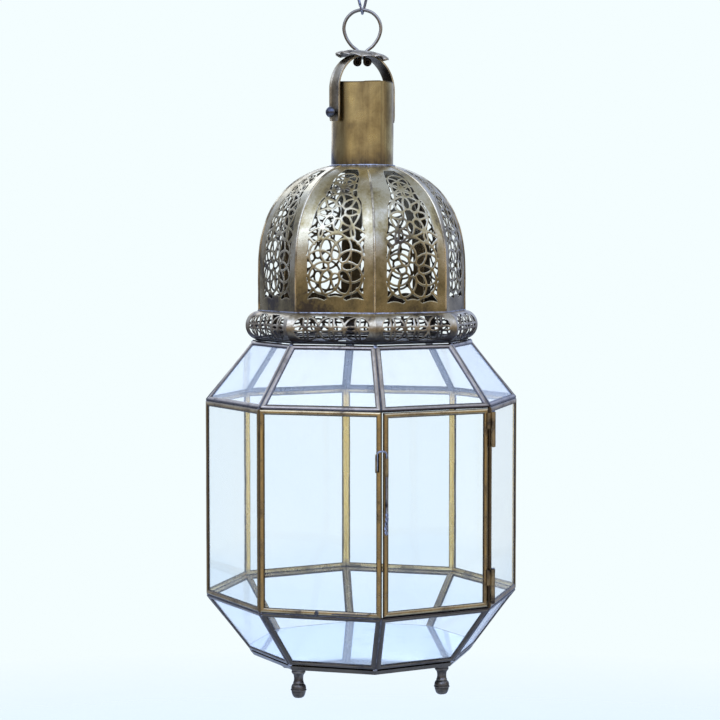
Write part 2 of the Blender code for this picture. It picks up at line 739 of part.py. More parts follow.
# Petalled washer on the crown of the bail, leaning a little.
WASHER_R = 0.0272
PETALS = 12
PETAL_DEPTH = 0.0016
WASHER_SHEET = 0.0009
WASHER_LEAN = math.radians(5)
WASHER_Z = Z_CROWN + 0.0026
WASHER_RINGS = ((0.0068, 0.0), (0.0130, -0.0006), (0.0205, -0.0018), (WASHER_R, -0.0046))
bm = bmesh.new()
count = 4 * PETALS
loops = []
for level, (radius, height) in enumerate(WASHER_RINGS):
    loop = []
    for step in range(count):
        angle = 2 * math.pi * step / count
        wave = abs(math.sin(PETALS * angle / 2)) if level == len(WASHER_RINGS) - 1 else 1.0
        reach = radius - PETAL_DEPTH * (1 - wave)
        loop.append(bm.verts.new((reach * math.cos(angle), reach * math.sin(angle), height)))
    loops.append(loop)
for near, far in zip(loops, loops[1:]):
    for step in range(count):
        after = (step + 1) % count
        bm.faces.new((near[step], far[step], far[after], near[after]))
washer = place("petal_washer", mesh_of(bm, "petal_washer"), aged_brass("petal_washer"))
press = washer.modifiers.new("sheet", "SOLIDIFY")
press.thickness = WASHER_SHEET
press.offset = 0
washer.parent = bail_axis
lean_axis = Matrix.Rotation(RING_TURN - BAIL_TURN, 4, "Z") @ Matrix.Rotation(WASHER_LEAN, 4, "Y")
washer.matrix_local = Matrix.Translation((0, 0, WASHER_Z - Z_PIVOT)) @ lean_axis

# Ring: one wire bent to a drop, its two ends through the washer and curled up beneath.
RING_TOP = Z_CROWN + 0.0443
WIRE_SPREAD = 0.0024
CURL_R = 0.0026
CURL_Z = Z_CROWN - 0.0072
ring_axis = bpy.data.objects.new("ring_axis", None)
ring_axis.rotation_euler.z = RING_TURN
lantern.objects.link(ring_axis)

# Half the drop, as (out, down from the top). It starts just past the top and ends where the wire runs straight.
DROP = (
    (-0.0094, 0.0026),
    (0.0, 0.0),
    (0.0094, 0.0026),
    (0.0160, 0.0094),
    (0.0183, 0.0183),
    (0.0159, 0.0276),
    (0.0109, 0.0350),
    (0.0060, 0.0391),
    (0.0032, 0.0418),
    (WIRE_SPREAD, 0.0450),
    (WIRE_SPREAD, 0.0480),
)


def smooth_stretch(before, start, end, after, steps):
    """Points from start to just before end on a smooth curve that passes through all four."""
    p, q, r, s = (Vector(point) for point in (before, start, end, after))
    made = []
    for step in range(steps):
        t = step / steps
        bend = (2 * p - 5 * q + 4 * r - s) * t * t + (3 * q - p - 3 * r + s) * t**3
        made.append(q + ((r - p) * t + bend) / 2)
    return made


half_ring = []
for first in range(len(DROP) - 3):
    for out, down in smooth_stretch(*DROP[first : first + 4], 3):
        half_ring.append((out, RING_TOP - down))
half_ring.append((WIRE_SPREAD, RING_TOP - DROP[-2][1]))
half_ring.append((WIRE_SPREAD, CURL_Z + 0.0006))
for step in range(1, 12):
    angle = math.pi + math.radians(27) * step
    half_ring.append((WIRE_SPREAD + CURL_R + CURL_R * math.cos(angle), CURL_Z + CURL_R * math.sin(angle)))
ring_points = [(-x, 0, z) for x, z in half_ring[:0:-1]] + [(x, 0, z) for x, z in half_ring]
ring = wire("hang_ring", ring_points, RING_WIRE_R, aged_brass("hang_ring"), resolution=1)
ring.parent = ring_axis

# Link: a steel wire link, twisted so that it lies across the ring at its foot.
LINK_HALF = 0.0052
LINK_LENGTH = 0.0270
LINK_TWIST = math.radians(88)
link_foot = RING_TOP - RING_WIRE_R - LINK_WIRE_R - 0.0004
link_axis = bpy.data.objects.new("link_axis", None)
link_axis.location = (0, 0, RING_TOP)
link_axis.rotation_euler.z = RING_TURN
lantern.objects.link(link_axis)
link_points = []
straight = LINK_LENGTH - 2 * LINK_HALF
BEND = 8
outline = []
for step in range(BEND + 1):
    angle = math.pi + math.pi * step / BEND
    outline.append((LINK_HALF * math.cos(angle), LINK_HALF + LINK_HALF * math.sin(angle)))
for step in range(1, 5):
    outline.append((LINK_HALF, LINK_HALF + straight * step / 5))
for step in range(BEND + 1):
    angle = math.pi * step / BEND
    outline.append((LINK_HALF * math.cos(angle), LINK_LENGTH - LINK_HALF + LINK_HALF * math.sin(angle)))
for step in range(4, 0, -1):
    outline.append((-LINK_HALF, LINK_HALF + straight * step / 5))
for x, z in outline:
    twist = math.pi / 2 - LINK_TWIST * z / LINK_LENGTH
    link_points.append((x * math.cos(twist), x * math.sin(twist), link_foot - RING_TOP + z))
link = wire("hang_link", link_points, LINK_WIRE_R, steel("hang_link"), closed=True, resolution=1)
link.parent = link_axis
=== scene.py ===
"""Finished looks for the hanging lantern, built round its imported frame. Metres, +Z up, the door facing -Y."""

import math

import bmesh
import bpy
import numpy as np
from mathutils import Matrix, Vector, noise


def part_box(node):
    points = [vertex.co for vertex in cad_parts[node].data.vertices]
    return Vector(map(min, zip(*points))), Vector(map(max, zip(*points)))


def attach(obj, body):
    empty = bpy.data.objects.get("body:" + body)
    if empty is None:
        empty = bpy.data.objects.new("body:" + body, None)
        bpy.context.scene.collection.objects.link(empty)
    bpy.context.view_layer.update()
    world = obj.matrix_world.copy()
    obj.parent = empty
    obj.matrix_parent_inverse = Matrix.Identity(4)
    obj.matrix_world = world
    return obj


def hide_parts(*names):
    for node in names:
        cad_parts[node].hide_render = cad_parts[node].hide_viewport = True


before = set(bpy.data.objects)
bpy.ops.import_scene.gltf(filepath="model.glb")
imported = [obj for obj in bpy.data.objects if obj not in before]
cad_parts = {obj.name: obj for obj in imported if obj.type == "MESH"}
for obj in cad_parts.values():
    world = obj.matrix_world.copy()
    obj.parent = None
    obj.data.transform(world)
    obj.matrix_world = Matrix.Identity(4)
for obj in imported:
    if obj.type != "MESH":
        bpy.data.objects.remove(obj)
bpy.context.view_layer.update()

SIDES = 8
TURN = 2 * math.pi / SIDES
HALF = TURN / 2
MM = 0.001


def corner_radius(node):
    """The corner radius of an eight-sided node, from the widest reach of its flat sides."""
    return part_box(node)[1].x / math.cos(HALF)


# Levels and radii, from the frame.
Z_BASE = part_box("base_frame")[0].z
Z_CAGE_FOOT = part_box("lower_cage")[0].z
Z_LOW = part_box("lower_cage")[1].z
Z_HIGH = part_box("shoulder_cage")[0].z
Z_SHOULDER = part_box("shoulder_cage")[1].z
Z_COLLAR_LOW, Z_COLLAR_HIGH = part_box("collar")[0].z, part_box("collar")[1].z
Z_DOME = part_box("dome_gore_1")[0].z
Z_NECK, Z_NECK_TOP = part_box("neck_tube")[0].z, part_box("neck_tube")[1].z
R_WIDE = corner_radius("side_cage")
R_COLLAR = corner_radius("collar")
NECK_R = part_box("neck_tube")[1].x
R_BASE = 0.1098
R_SHOULDER = 0.1100
R_DOME = 0.1036
R_DOME_TOP = 0.0345
Z_SPRING = 0.4100
Z_DOME_TOP = 0.5166
DOME_POWER = 2.45
WALL = 0.0040
GAP = 0.0003
Z_PIVOT = 0.5700
Z_CROWN = 0.6280

BAIL_TURN = math.radians(-81)
RING_TURN = math.radians(-29)


# ---------------------------------------------------------------- helpers


def outward(turn):
    """The level direction that lies this turn about +Z from -Y."""
    return Vector((math.sin(turn), -math.cos(turn), 0))


def turned(turn):
    return Matrix.Rotation(turn, 4, "Z")


def mesh_from(name, verts, faces):
    mesh = bpy.data.meshes.new(name)
    mesh.from_pydata([tuple(v) for v in verts], [], faces)
    mesh.validate()
    bm = bmesh.new()
    bm.from_mesh(mesh)
    bmesh.ops.recalc_face_normals(bm, faces=bm.faces)
    bm.to_mesh(mesh)
    bm.free()
    return mesh


class Shape:
    """Vertices and faces gathered from several closed forms, to make one piece.

    Each vertex may carry a shade from 0 to 1, which says how much painted shade it gets, in a recess or along
    an edge."""

    def __init__(self):
        self.verts, self.faces, self.shades = [], [], []

    def add(self, verts, faces, matrix=None, shades=None):
        start = len(self.verts)
        for vert in verts:
            self.verts.append(matrix @ Vector(vert) if matrix is not None else Vector(vert))
        self.faces.extend([tuple(start + i for i in face) for face in faces])
        self.shades.extend(shades or [0.0] * len(verts))

    def rings(self, rings, closed=False, caps=True, matrix=None, shades=None):
        """Skins a list of rings, each a list of points of one length, and of shades if given."""
        count = len(rings[0])
        verts = [point for ring in rings for point in ring]
        faces = []
        for i in range(len(rings) if closed else len(rings) - 1):
            near, far = i * count, (i + 1) % len(rings) * count
            for j in range(count):
                k = (j + 1) % count
                faces.append((near + j, near + k, far + k, far + j))
        if caps and not closed:
            faces.append(tuple(range(count)))
            faces.append(tuple(range(len(verts) - count, len(verts))))
        self.add(verts, faces, matrix, [shade for ring in shades for shade in ring] if shades else None)

    def piece(self, name, paint, body, stands_for=(), angle=38):
        mesh = mesh_from(name, self.verts, self.faces)
        if any(self.shades):
            mesh.attributes.new("shade", "FLOAT", "POINT").data.foreach_set("value", self.shades)
        return place(name, mesh, paint, body, stands_for, angle)


def place(name, mesh, paint, body, stands_for=(), angle=38):
    """A finished piece riding on a body, smooth up to this angle."""
    obj = bpy.data.objects.new(name, mesh)
    bpy.context.scene.collection.objects.link(obj)
    mesh.materials.append(paint)
    mesh.shade_smooth()
    mesh.set_sharp_from_angle(angle=math.radians(angle))
    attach(obj, body)
    if stands_for:
        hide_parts(*stands_for)
    return obj


def wobble(point, scale, seed=0.0):
    """Smooth noise from -1 to 1 at this many waves a metre."""
    return noise.noise(Vector(point) * scale + Vector((seed, 3.1 * seed, -1.7 * seed)))


def wobble3(point, scale, seed=0.0):
    """Smooth noise in three directions. Blender seeds this one by the clock, so it differs between runs."""
    return noise.noise_vector(Vector(point) * scale + Vector((seed, 3.1 * seed, -1.7 * seed)))


def smooth_path(points, per_span, closed=False):
    """A curve through these points, with this many steps in each span."""
    points = [Vector(p) for p in points]
    count = len(points)
    made = []
    for i in range(count if closed else count - 1):
        if closed:
            a, b, c, d = (points[(i + k) % count] for k in (-1, 0, 1, 2))
        else:
            b, c = points[i], points[i + 1]
            a = points[i - 1] if i else 2 * b - c
            d = points[i + 2] if i + 2 < count else 2 * c - b
        for step in range(per_span):
            t = step / per_span
            square, cube = (2 * a - 5 * b + 4 * c - d) * t * t, (3 * b - a - 3 * c + d) * t**3
            made.append(0.5 * (2 * b + (c - a) * t + square + cube))
    if not closed:
        made.append(points[-1])
    return made


def tube(shape, path, radius, sides=12, closed=False, matrix=None, rounded=True):
    """Adds a round wire along the path. The radius is a number, or a function of the share of its length."""
    path = [Vector(p) for p in path]
    count = len(path)
    size = radius if callable(radius) else lambda share: radius
    across = None
    rings = []
    for i, point in enumerate(path):
        before = path[i - 1] if i or closed else point
        after = path[(i + 1) % count] if i + 1 < count or closed else point
        along = (after - before).normalized()
        if across is None:
            across = along.orthogonal().normalized()
        across = (across - along * across.dot(along)).normalized()
        other = along.cross(across)
        reach = size(i / max(1, count - 1))
        ring = []
        for side in range(sides):
            angle = 2 * math.pi * side / sides
            ring.append(point + (across * math.cos(angle) + other * math.sin(angle)) * reach)
        rings.append(ring)
    if not closed and rounded:
        for end, step in ((0, 1), (-1, -1)):
            centre = path[end]
            out = (path[end] - path[end + step]).normalized()
            reach = size(0 if end == 0 else 1)
            last = list(rings[end])
            for lift, share in ((0.6, 0.8), (0.92, 0.4)):
                ring = [centre + (p - centre) * share + out * reach * lift for p in last]
                rings.insert(0 if end == 0 else len(rings), ring)
    shape.rings(rings, closed=closed, caps=not closed, matrix=matrix)


def lathe(shape, profile, steps, matrix=None, lump=0.0, waves=400.0):
    """Adds a turned form from (radius, height) points, closed where they reach the axis."""
    rings = []
    for radius, height in profile:
        ring = []
        for step in range(steps):
            angle = 2 * math.pi * step / steps
            reach = max(radius, 1e-5)
            point = Vector((reach * math.cos(angle), reach * math.sin(angle), height))
            if lump and radius > lump:
                push = lump * wobble(point, waves)
                point.x += push * math.cos(angle)
                point.y += push * math.sin(angle)
            ring.append(point)
        rings.append(ring)
    shape.rings(rings, matrix=matrix)


def blob(shape, centre, facing, radius, height, seed, rough=0.35):
    """Adds a solder lump lying on a surface that faces this way."""
    turn = Vector(facing).to_track_quat("Z", "Y").to_matrix().to_4x4()
    rings = []
    rows, steps = 7, 14
    for row in range(rows + 1):
        polar = math.pi * row / rows
        ring = []
        for step in range(steps):
            angle = 2 * math.pi * step / steps
            local = Vector(
                (math.sin(polar) * math.cos(angle), math.sin(polar) * math.sin(angle), math.cos(polar))
            )
            grow = 1 + rough * wobble(local, 1.3, seed)
            local = local * grow
            reach = 1e-4 if row in (0, rows) else 1
            ring.append(Vector((local.x * radius * reach, local.y * radius * reach, local.z * height)))
        rings.append(ring)
    shape.rings(rings, matrix=Matrix.Translation(centre) @ turn)


# ---------------------------------------------------------------- materials


class Nodes:
    """A small writer of shader nodes, for a material or the world."""

    def __init__(self, owner, shader="Principled BSDF", output="Material Output"):
        owner.use_nodes = True
        self.owner, self.tree = owner, owner.node_tree
        self.shader, self.end = self.tree.nodes[shader], self.tree.nodes[output]
        self.coords = self.tree.nodes.new("ShaderNodeTexCoord")

    def new(self, kind, inputs=(), **settings):
        node = self.tree.nodes.new(kind)
        for key, value in settings.items():
            setattr(node, key, value)
        for key, value in dict(inputs).items():
            self.put(node.inputs[key], value)
        return node

    def put(self, socket, value):
        if isinstance(value, bpy.types.NodeSocket):
            self.tree.links.new(value, socket)
        else:
            socket.default_value = value

    def mixed(self, share, other):
        """Ends the tree with the shader, mixed with another by this share."""
        mix = self.new("ShaderNodeMixShader", {0: share, 1: self.shader.outputs[0], 2: other.outputs[0]})
        self.put(self.end.inputs["Surface"], mix.outputs[0])

    def metal(self, colour, rough):
        self.put(self.shader.inputs["Base Color"], colour)
        self.shader.inputs["Metallic"].default_value = 1.0
        self.put(self.shader.inputs["Roughness"], rough)

    def level_facing(self, point, direction):
        """How closely the way from the upright axis to a point agrees with a direction, from -1 to 1."""
        level = self.new("ShaderNodeVectorMath", {0: point, 1: (1, 1, 0)}, operation="MULTIPLY")
        away = self.new("ShaderNodeVectorMath", {0: level.outputs[0]}, operation="NORMALIZE")
        dot = self.new("ShaderNodeVectorMath", {0: away.outputs[0], 1: direction}, operation="DOT_PRODUCT")
        return dot.outputs["Value"]

    def split_z(self, output):
        """The Z of one of the texture coordinates: a height for Object, a facing for Normal."""
        return self.new("ShaderNodeSeparateXYZ", {"Vector": self.coords.outputs[output]}).outputs["Z"]

    def stretched(self, scale):
        node = self.new("ShaderNodeMapping", {"Scale": scale})
        self.put(node.inputs["Vector"], self.coords.outputs["Object"])
        return node.outputs["Vector"]

    def noise(self, scale, detail=4.0, rough=0.55, vector=None, distortion=0.0):
        node = self.new(
            "ShaderNodeTexNoise",
            {
                "Vector": vector or self.coords.outputs["Object"],
                "Scale": scale,
                "Detail": detail,
                "Roughness": rough,
                "Distortion": distortion,
            },
        )
        return node.outputs["Fac"]

    def ramp(self, value, stops):
        node = self.new("ShaderNodeValToRGB", {"Fac": value})
        elements = node.color_ramp.elements
        while len(elements) < len(stops):
            elements.new(0.5)
        for element, (at, colour) in zip(elements, stops):
            element.position = at
            element.color = (*colour, 1) if isinstance(colour, tuple) else (colour, colour, colour, 1)
        return node.outputs["Color"]

    def math(self, operation, a, b=0.0):
        node = self.new("ShaderNodeMath", operation=operation)
        self.put(node.inputs[0], a)
        self.put(node.inputs[1], b)
        return node.outputs[0]

    def blend(self, amount, a, b):
        node = self.new("ShaderNodeMix", data_type="RGBA")
        self.put(node.inputs["Factor"], amount)
        self.put(node.inputs[6], a if isinstance(a, bpy.types.NodeSocket) else (*a, 1))
        self.put(node.inputs[7], b if isinstance(b, bpy.types.NodeSocket) else (*b, 1))
        return node.outputs[2]

    def span(self, value, low, high, to_low=0.0, to_high=1.0):
        node = self.new(
            "ShaderNodeMapRange",
            {"Value": value, "From Min": low, "From Max": high, "To Min": to_low, "To Max": to_high},
        )
        return node.outputs["Result"]

    def bump(self, height, strength, distance):
        node = self.new("ShaderNodeBump", {"Height": height, "Strength": strength, "Distance": distance})
        self.put(self.shader.inputs["Normal"], node.outputs["Normal"])


GOLD = (0.52, 0.430, 0.270)
BRONZE = (0.270, 0.215, 0.130)
# The darkest colour is dark patina, and also the painted shade of downward faces.
PATINA_AND_SHADE = (0.060, 0.050, 0.042)
# Painted shade for faces turned to the lantern's middle.
INNER_SHADE = (0.035, 0.026, 0.020)


def aged_brass(
    name, patina=0.5, blotch=38.0, rough=(0.26, 0.48), edges=0.0, under=0.55, within=0.0,
    bright=GOLD, middle=BRONZE, stain_and_shade=None, contrast=1.0, relief=0.35, shaded=False,
    lit=(0.56, 0.47, 0.30), lit_band=None, speck=0.5, grainy=0.2, stain_and_shade_depth=0.15, streaks=0.0, darkening=None,
):
    """Brass browned in patches, with painted shade on its downward faces, and finely scratched.

    Its faces turned to the lantern's middle get painted shade where within is above zero, and a painted lit
    colour where it is below, only between the lit band's heights when these are given. Where heights for stains
    and shade are given, the metal is browner from the second down to the first: stains on some pieces, painted
    shade on others. Where heights for darkening are given, browner mottling spreads over it from the second
    down to the first, partly painted dark reflection of the ground.
    Streaks run up and down it."""
    n = Nodes(bpy.data.materials.new(name))
    large = n.noise(blotch, 5.0, 0.55, distortion=0.3)
    fine = n.noise(420.0, 3.0, 0.6)
    patch = n.math("ADD", n.math("MULTIPLY", large, 1 - grainy), n.math("MULTIPLY", fine, grainy))
    if streaks:
        run = n.noise(95.0, 4.0, 0.6, n.stretched((1, 1, 0.13)))
        patch = n.math("ADD", patch, n.math("MULTIPLY", n.math("SUBTRACT", run, 0.5), streaks))
    # Stains and painted shade: browner from the second height down to the first.
    if stain_and_shade:
        height = n.split_z("Object")
        patch = n.math("SUBTRACT", patch, n.span(height, stain_and_shade[0], stain_and_shade[1], stain_and_shade_depth, 0.0))
    shift = (patina - 0.5) * 0.3
    reach = 1 / contrast
    colour = n.ramp(
        patch,
        [
            (0.47 + (-0.13 * reach) + shift, PATINA_AND_SHADE),
            (0.47 + (-0.03 * reach) + shift, middle),
            (0.47 + (0.11 * reach) + shift, bright),
            (min(0.99, 0.47 + 0.30 * reach + shift), tuple(c * 1.12 for c in bright)),
        ],
    )
    # Browner mottling over the lower part, partly painted dark reflection of the ground.
    if darkening:
        level_z = n.split_z("Object")
        level_z = n.math("ADD", level_z, n.math("MULTIPLY", n.math("SUBTRACT", large, 0.5), 0.16))
        browned = n.ramp(
            patch,
            [
                (0.37, (0.075, 0.058, 0.042)), (0.46, tuple(c * 0.66 for c in middle)), (0.56, middle),
                (0.68, (0.48, 0.375, 0.18)),
            ],
        )
        colour = n.blend(n.span(level_z, darkening[0], darkening[1], 0.88, 0.0), colour, browned)
    # Painted shade: downward faces are blended towards the darkest colour by the share under.
    facing = n.split_z("Normal")
    below = n.span(facing, -0.08, -0.55, 0.0, under)
    colour = n.blend(below, colour, PATINA_AND_SHADE)
    # Painted shade on faces turned to the lantern's middle where within is above zero; a painted lit colour on
    # them where it is below.
    if within:
        toward = n.level_facing(n.coords.outputs["Object"], n.coords.outputs["Normal"])
        inner = n.span(toward, -0.25, -0.6, 0.0, abs(within))
        if lit_band:
            level_z = n.split_z("Object")
            inner = n.math("MULTIPLY", inner, n.span(level_z, lit_band[0], lit_band[0] + 0.006))
            inner = n.math("MULTIPLY", inner, n.span(level_z, lit_band[1], lit_band[1] - 0.006))
        colour = n.blend(inner, colour, INNER_SHADE if within > 0 else lit)
    if edges:
        worn = n.new("ShaderNodeNewGeometry").outputs["Pointiness"]
        wear = n.span(worn, 0.51, 0.56, 0.0, edges)
        colour = n.blend(wear, colour, (0.66, 0.55, 0.36))
    if speck:
        specks = n.noise(900.0, 2.0, 0.5)
        colour = n.blend(n.span(specks, 0.64, 0.74, 0.0, speck), colour, PATINA_AND_SHADE)
    # Painted shade: the colour goes nearly black where the vertices' shade, stirred by noise, runs high.
    if shaded:
        recess = n.new("ShaderNodeAttribute", attribute_name="shade").outputs["Fac"]
        recess = n.math("ADD", recess, n.math("MULTIPLY", n.math("SUBTRACT", large, 0.5), 0.9))
        colour = n.blend(n.span(recess, 0.45, 0.98, 0.0, 0.88), colour, (0.045, 0.036, 0.034))
    n.metal(colour, n.span(patch, 0.35, 0.65, rough[1], rough[0]))
    n.bump(n.math("ADD", n.math("MULTIPLY", large, 0.6), n.math("MULTIPLY", fine, 0.4)), relief, 0.0006)
    return n.owner


def solder(name, light=0.42):
    """Tin solder, grey and pitted, yellowed here and there."""
    n = Nodes(bpy.data.materials.new(name))
    large = n.noise(180.0, 5.0, 0.6)
    fine = n.noise(900.0, 3.0, 0.6)
    colour = n.ramp(
        large,
        [
            (0.32, (0.05, 0.045, 0.045)), (0.48, (light * 0.8, light * 0.8, light * 0.84)),
            (0.66, (light * 1.2, light * 1.2, light * 1.25)),
        ],
    )
    colour = n.blend(n.span(fine, 0.5, 0.75, 0.0, 0.45), colour, (0.30, 0.23, 0.13))
    n.metal(colour, n.span(fine, 0.3, 0.7, 0.28, 0.5))
    n.bump(n.math("ADD", large, n.math("MULTIPLY", fine, 0.4)), 0.5, 0.0008)
    return n.owner


def steel(name, light=0.40):
    """Drawn steel wire, dull, with darker streaks."""
    n = Nodes(bpy.data.materials.new(name))
    large = n.noise(150.0, 4.0, 0.6)
    fine = n.noise(700.0, 3.0, 0.6, n.stretched((1, 1, 0.2)))
    patch = n.math("ADD", n.math("MULTIPLY", large, 0.6), n.math("MULTIPLY", fine, 0.4))
    colour = n.ramp(
        patch,
        [
            (0.36, (0.045, 0.045, 0.055)), (0.50, (light * 0.75, light * 0.77, light * 0.85)),
            (0.64, (light, light * 1.02, light * 1.1)),
        ],
    )
    n.metal(colour, n.span(patch, 0.35, 0.65, 0.45, 0.27))
    n.bump(fine, 0.3, 0.0004)
    return n.owner


def clear_glass(name, tint, veil, bloom, bend=1.30):
    """Old sheet glass: faintly tinted, slightly wavy, under a veil of pale dust with a bluish bloom."""
    n = Nodes(bpy.data.materials.new(name))
    wave = n.noise(16.0, 2.0, 0.5)
    dust = n.noise(55.0, 5.0, 0.62)
    tinted = n.ramp(
        n.noise(7.0, 2.0, 0.5), [(0.30, tint), (0.75, tuple(1 - (1 - c) * 0.55 for c in tint))]
    )
    # Painted reflection of the ground: the tint goes darker below about 0.15 m.
    height = n.split_z("Object")
    height = n.math("ADD", height, n.math("MULTIPLY", n.noise(9.0, 2.0), 0.05))
    foot = n.span(height, 0.160, 0.135, 0.0, 0.8)
    tinted = n.blend(foot, tinted, tuple(c * m for c, m in zip(tint, (0.925, 0.955, 0.995))))
    n.put(n.shader.inputs["Base Color"], tinted)
    n.put(n.shader.inputs["Transmission Weight"], n.span(dust, 0.30, 0.75, 1 - 0.6 * veil, 1 - 1.4 * veil))
    n.shader.inputs["IOR"].default_value = bend
    n.put(n.shader.inputs["Sheen Weight"], n.span(dust, 0.30, 0.75, 0.85 * bloom, bloom))
    n.shader.inputs["Sheen Roughness"].default_value = 1.0
    n.shader.inputs["Sheen Tint"].default_value = (0.72, 0.92, 1.0, 1)
    n.put(n.shader.inputs["Roughness"], n.span(dust, 0.55, 0.85, 0.0, 0.10))
    n.bump(wave, 0.25, 0.0006)
    clear = n.new("ShaderNodeBsdfTransparent", {"Color": (*tint, 1)})
    n.mixed(n.new("ShaderNodeLightPath").outputs["Is Shadow Ray"], clear)
    return n.owner


# Faces turned to the lantern's middle get a painted lit colour in these came brasses: painted light on the far
# frames seen through the glass, for brass_came only between the side cage's rails.
brass_came = aged_brass(
    "brass_came", 0.50, 40.0, (0.18, 0.32), within=-0.8, under=0.92, contrast=0.8, relief=0.2,
    bright=(0.74, 0.57, 0.29), middle=(0.42, 0.315, 0.165), shaded=True, lit=(0.88, 0.64, 0.23),
    lit_band=(Z_LOW + 0.005, Z_HIGH - 0.004),
)
brass_low = aged_brass(
    "brass_low", 0.56, 40.0, (0.20, 0.34), within=-0.3, under=0.92, contrast=0.8, relief=0.2,
    bright=(0.52, 0.41, 0.25), middle=(0.27, 0.21, 0.13), shaded=True, lit=(0.50, 0.42, 0.30),
)
brass_shoulder = aged_brass(
    "brass_shoulder", 0.50, 40.0, (0.18, 0.30), within=-0.4, under=0.92, contrast=0.8, relief=0.2,
    bright=(0.62, 0.52, 0.385), middle=(0.36, 0.295, 0.22), shaded=True, lit=(0.45, 0.42, 0.40),
)
brass_rib = aged_brass(
    "brass_rib", 0.40, 40.0, (0.22, 0.34), under=0.4, bright=(0.72, 0.60, 0.38), relief=0.2
)
# Painted dark reflection of the ground: the foot band goes browner and browner mottling covers the lower part;
# inner faces get painted shade.
brass_gore = aged_brass(
    "brass_gore", 0.46, 30.0, (0.24, 0.38), edges=0.25, under=0.3, within=0.75, contrast=0.8,
    bright=(0.56, 0.48, 0.305), middle=(0.32, 0.245, 0.105), stain_and_shade=(0.364, 0.388), stain_and_shade_depth=0.07,
    relief=0.25, streaks=0.12,
    darkening=(0.402, 0.440),
)
# Painted shade: the lower half goes browner, and downward and inner faces darker.
brass_collar = aged_brass(
    "brass_collar", 0.52, 42.0, (0.26, 0.40), edges=0.2, under=0.98, within=0.9,
    bright=(0.62, 0.53, 0.36), middle=(0.32, 0.245, 0.140), stain_and_shade=(0.346, 0.364), stain_and_shade_depth=0.19,
)
brass_neck = aged_brass(
    "brass_neck", 0.45, 17.0, (0.22, 0.34), within=0.8, contrast=0.65, stain_and_shade=(0.512, 0.534), stain_and_shade_depth=0.22,
    relief=0.05,
    bright=(0.92, 0.75, 0.34), middle=(0.40, 0.290, 0.12), shaded=True, grainy=0.07, speck=0.2, streaks=0.35,
)
brass_bail = aged_brass("brass_bail", 0.52, 55.0, (0.28, 0.42), edges=0.3, contrast=0.9, shaded=True)
brass_washer = aged_brass(
    "brass_washer", 0.50, 90.0, (0.34, 0.50), edges=0.3, under=0.6, bright=(0.52, 0.44, 0.31),
    middle=(0.29, 0.24, 0.165),
)
# Painted shade on the curls beneath the washer: the wire darkens below it.
grey_wire = aged_brass(
    "grey_wire", 0.44, 30.0, (0.26, 0.36), bright=(0.42, 0.37, 0.29), middle=(0.26, 0.225, 0.17),
    contrast=0.6, relief=0.02, speck=0.0, grainy=0.0, stain_and_shade=(
        Z_CROWN - 0.003, Z_CROWN + 0.004
    ), stain_and_shade_depth=0.5,
)
brass_foot = aged_brass(
    "brass_foot", 0.62, 70.0, (0.34, 0.5), edges=0.3, bright=(0.20, 0.175, 0.14), middle=(0.095, 0.078, 0.062)
)
brass_small = aged_brass(
    "brass_small", 0.54, 90.0, (0.28, 0.45), bright=(0.46, 0.36, 0.20), middle=(0.22, 0.165, 0.09)
)
solder_grey = solder("solder_grey")
solder_dark = solder("solder_dark", 0.10)
steel_wire = steel("steel_wire")
steel_dark = steel("steel_dark", 0.16)
glass_side = clear_glass("glass_side", (0.915, 0.955, 0.995), 0.02, 0.01)
glass_edge = clear_glass("glass_edge", (0.985, 0.997, 1.0), 0.02, 0.01, 1.16)
glass_shoulder = clear_glass("glass_shoulder", (0.995, 0.997, 1.0), 0.05, 0.13, 1.36)
CLEARER_PANES = ("side_glass_2", "side_glass_3", "side_glass_6")
glass_lower = clear_glass("glass_lower", (0.965, 0.985, 1.0), 0.05, 0.03)


# ---------------------------------------------------------------- framed panes


class Level:
    """One ring of eight panels between two corner radii, and the frame of each panel's plane."""

    def __init__(self, r_low, r_high, z_low, z_high):
        self.r_low, self.r_high, self.z_low, self.z_high = r_low, r_high, z_low, z_high
        run = (r_high - r_low) * math.cos(HALF)
        self.rise = math.hypot(run, z_high - z_low)
        self.lean = math.atan2(run, z_high - z_low)

    def panel(self, index):
        """Local X runs along the foot, Z up the slope, -Y outward, with the origin mid-wall."""
        turn = index * TURN
        foot = outward(turn) * self.r_low * math.cos(HALF) + Vector((0, 0, self.z_low))
        level = Matrix.Translation(foot) @ turned(turn)
        return level @ Matrix.Rotation(self.lean, 4, "X") @ Matrix.Translation((0, WALL / 2, 0))

    def outline(self):
        low, high = self.r_low * math.sin(HALF), self.r_high * math.sin(HALF)
        return [(-low, 0.0), (low, 0.0), (high, self.rise), (-high, self.rise)]


# Section of a folded came, as (inset, depth) from its outer edge and mid-wall, in millimetres.
CAME_SECTION = (
    (0.30, 0.55), (0.30, -0.70), (0.45, -1.15), (0.85, -1.50), (1.45, -1.79), (2.15, -1.95), (2.90, -2.00),
    (3.65, -1.94), (4.35, -1.76), (4.95, -1.48), (5.33, -1.12), (5.36, -0.92), (3.30, -0.92), (3.30, 0.92),
    (5.36, 0.92), (5.33, 1.12), (4.95, 1.48), (4.35, 1.76), (3.65, 1.94), (2.90, 2.00), (2.15, 1.95),
    (1.45, 1.79), (0.85, 1.50), (0.45, 1.15), (0.30, 0.70),
)


def inset_corners(outline, inset):
    """The corners of a convex outline moved in by this distance from every edge."""
    count = len(outline)
    lines = []
    for i in range(count):
        a, b = Vector(outline[i]), Vector(outline[(i + 1) % count])
        along = (b - a).normalized()
        lines.append((a + Vector((-along.y, along.x)) * inset, along))
    corners = []
    for i in range(count):
        (p, d), (q, e) = lines[i - 1], lines[i]
        t = (q - p).cross(e) / d.cross(e)
        corners.append(p + d * t)
    return corners


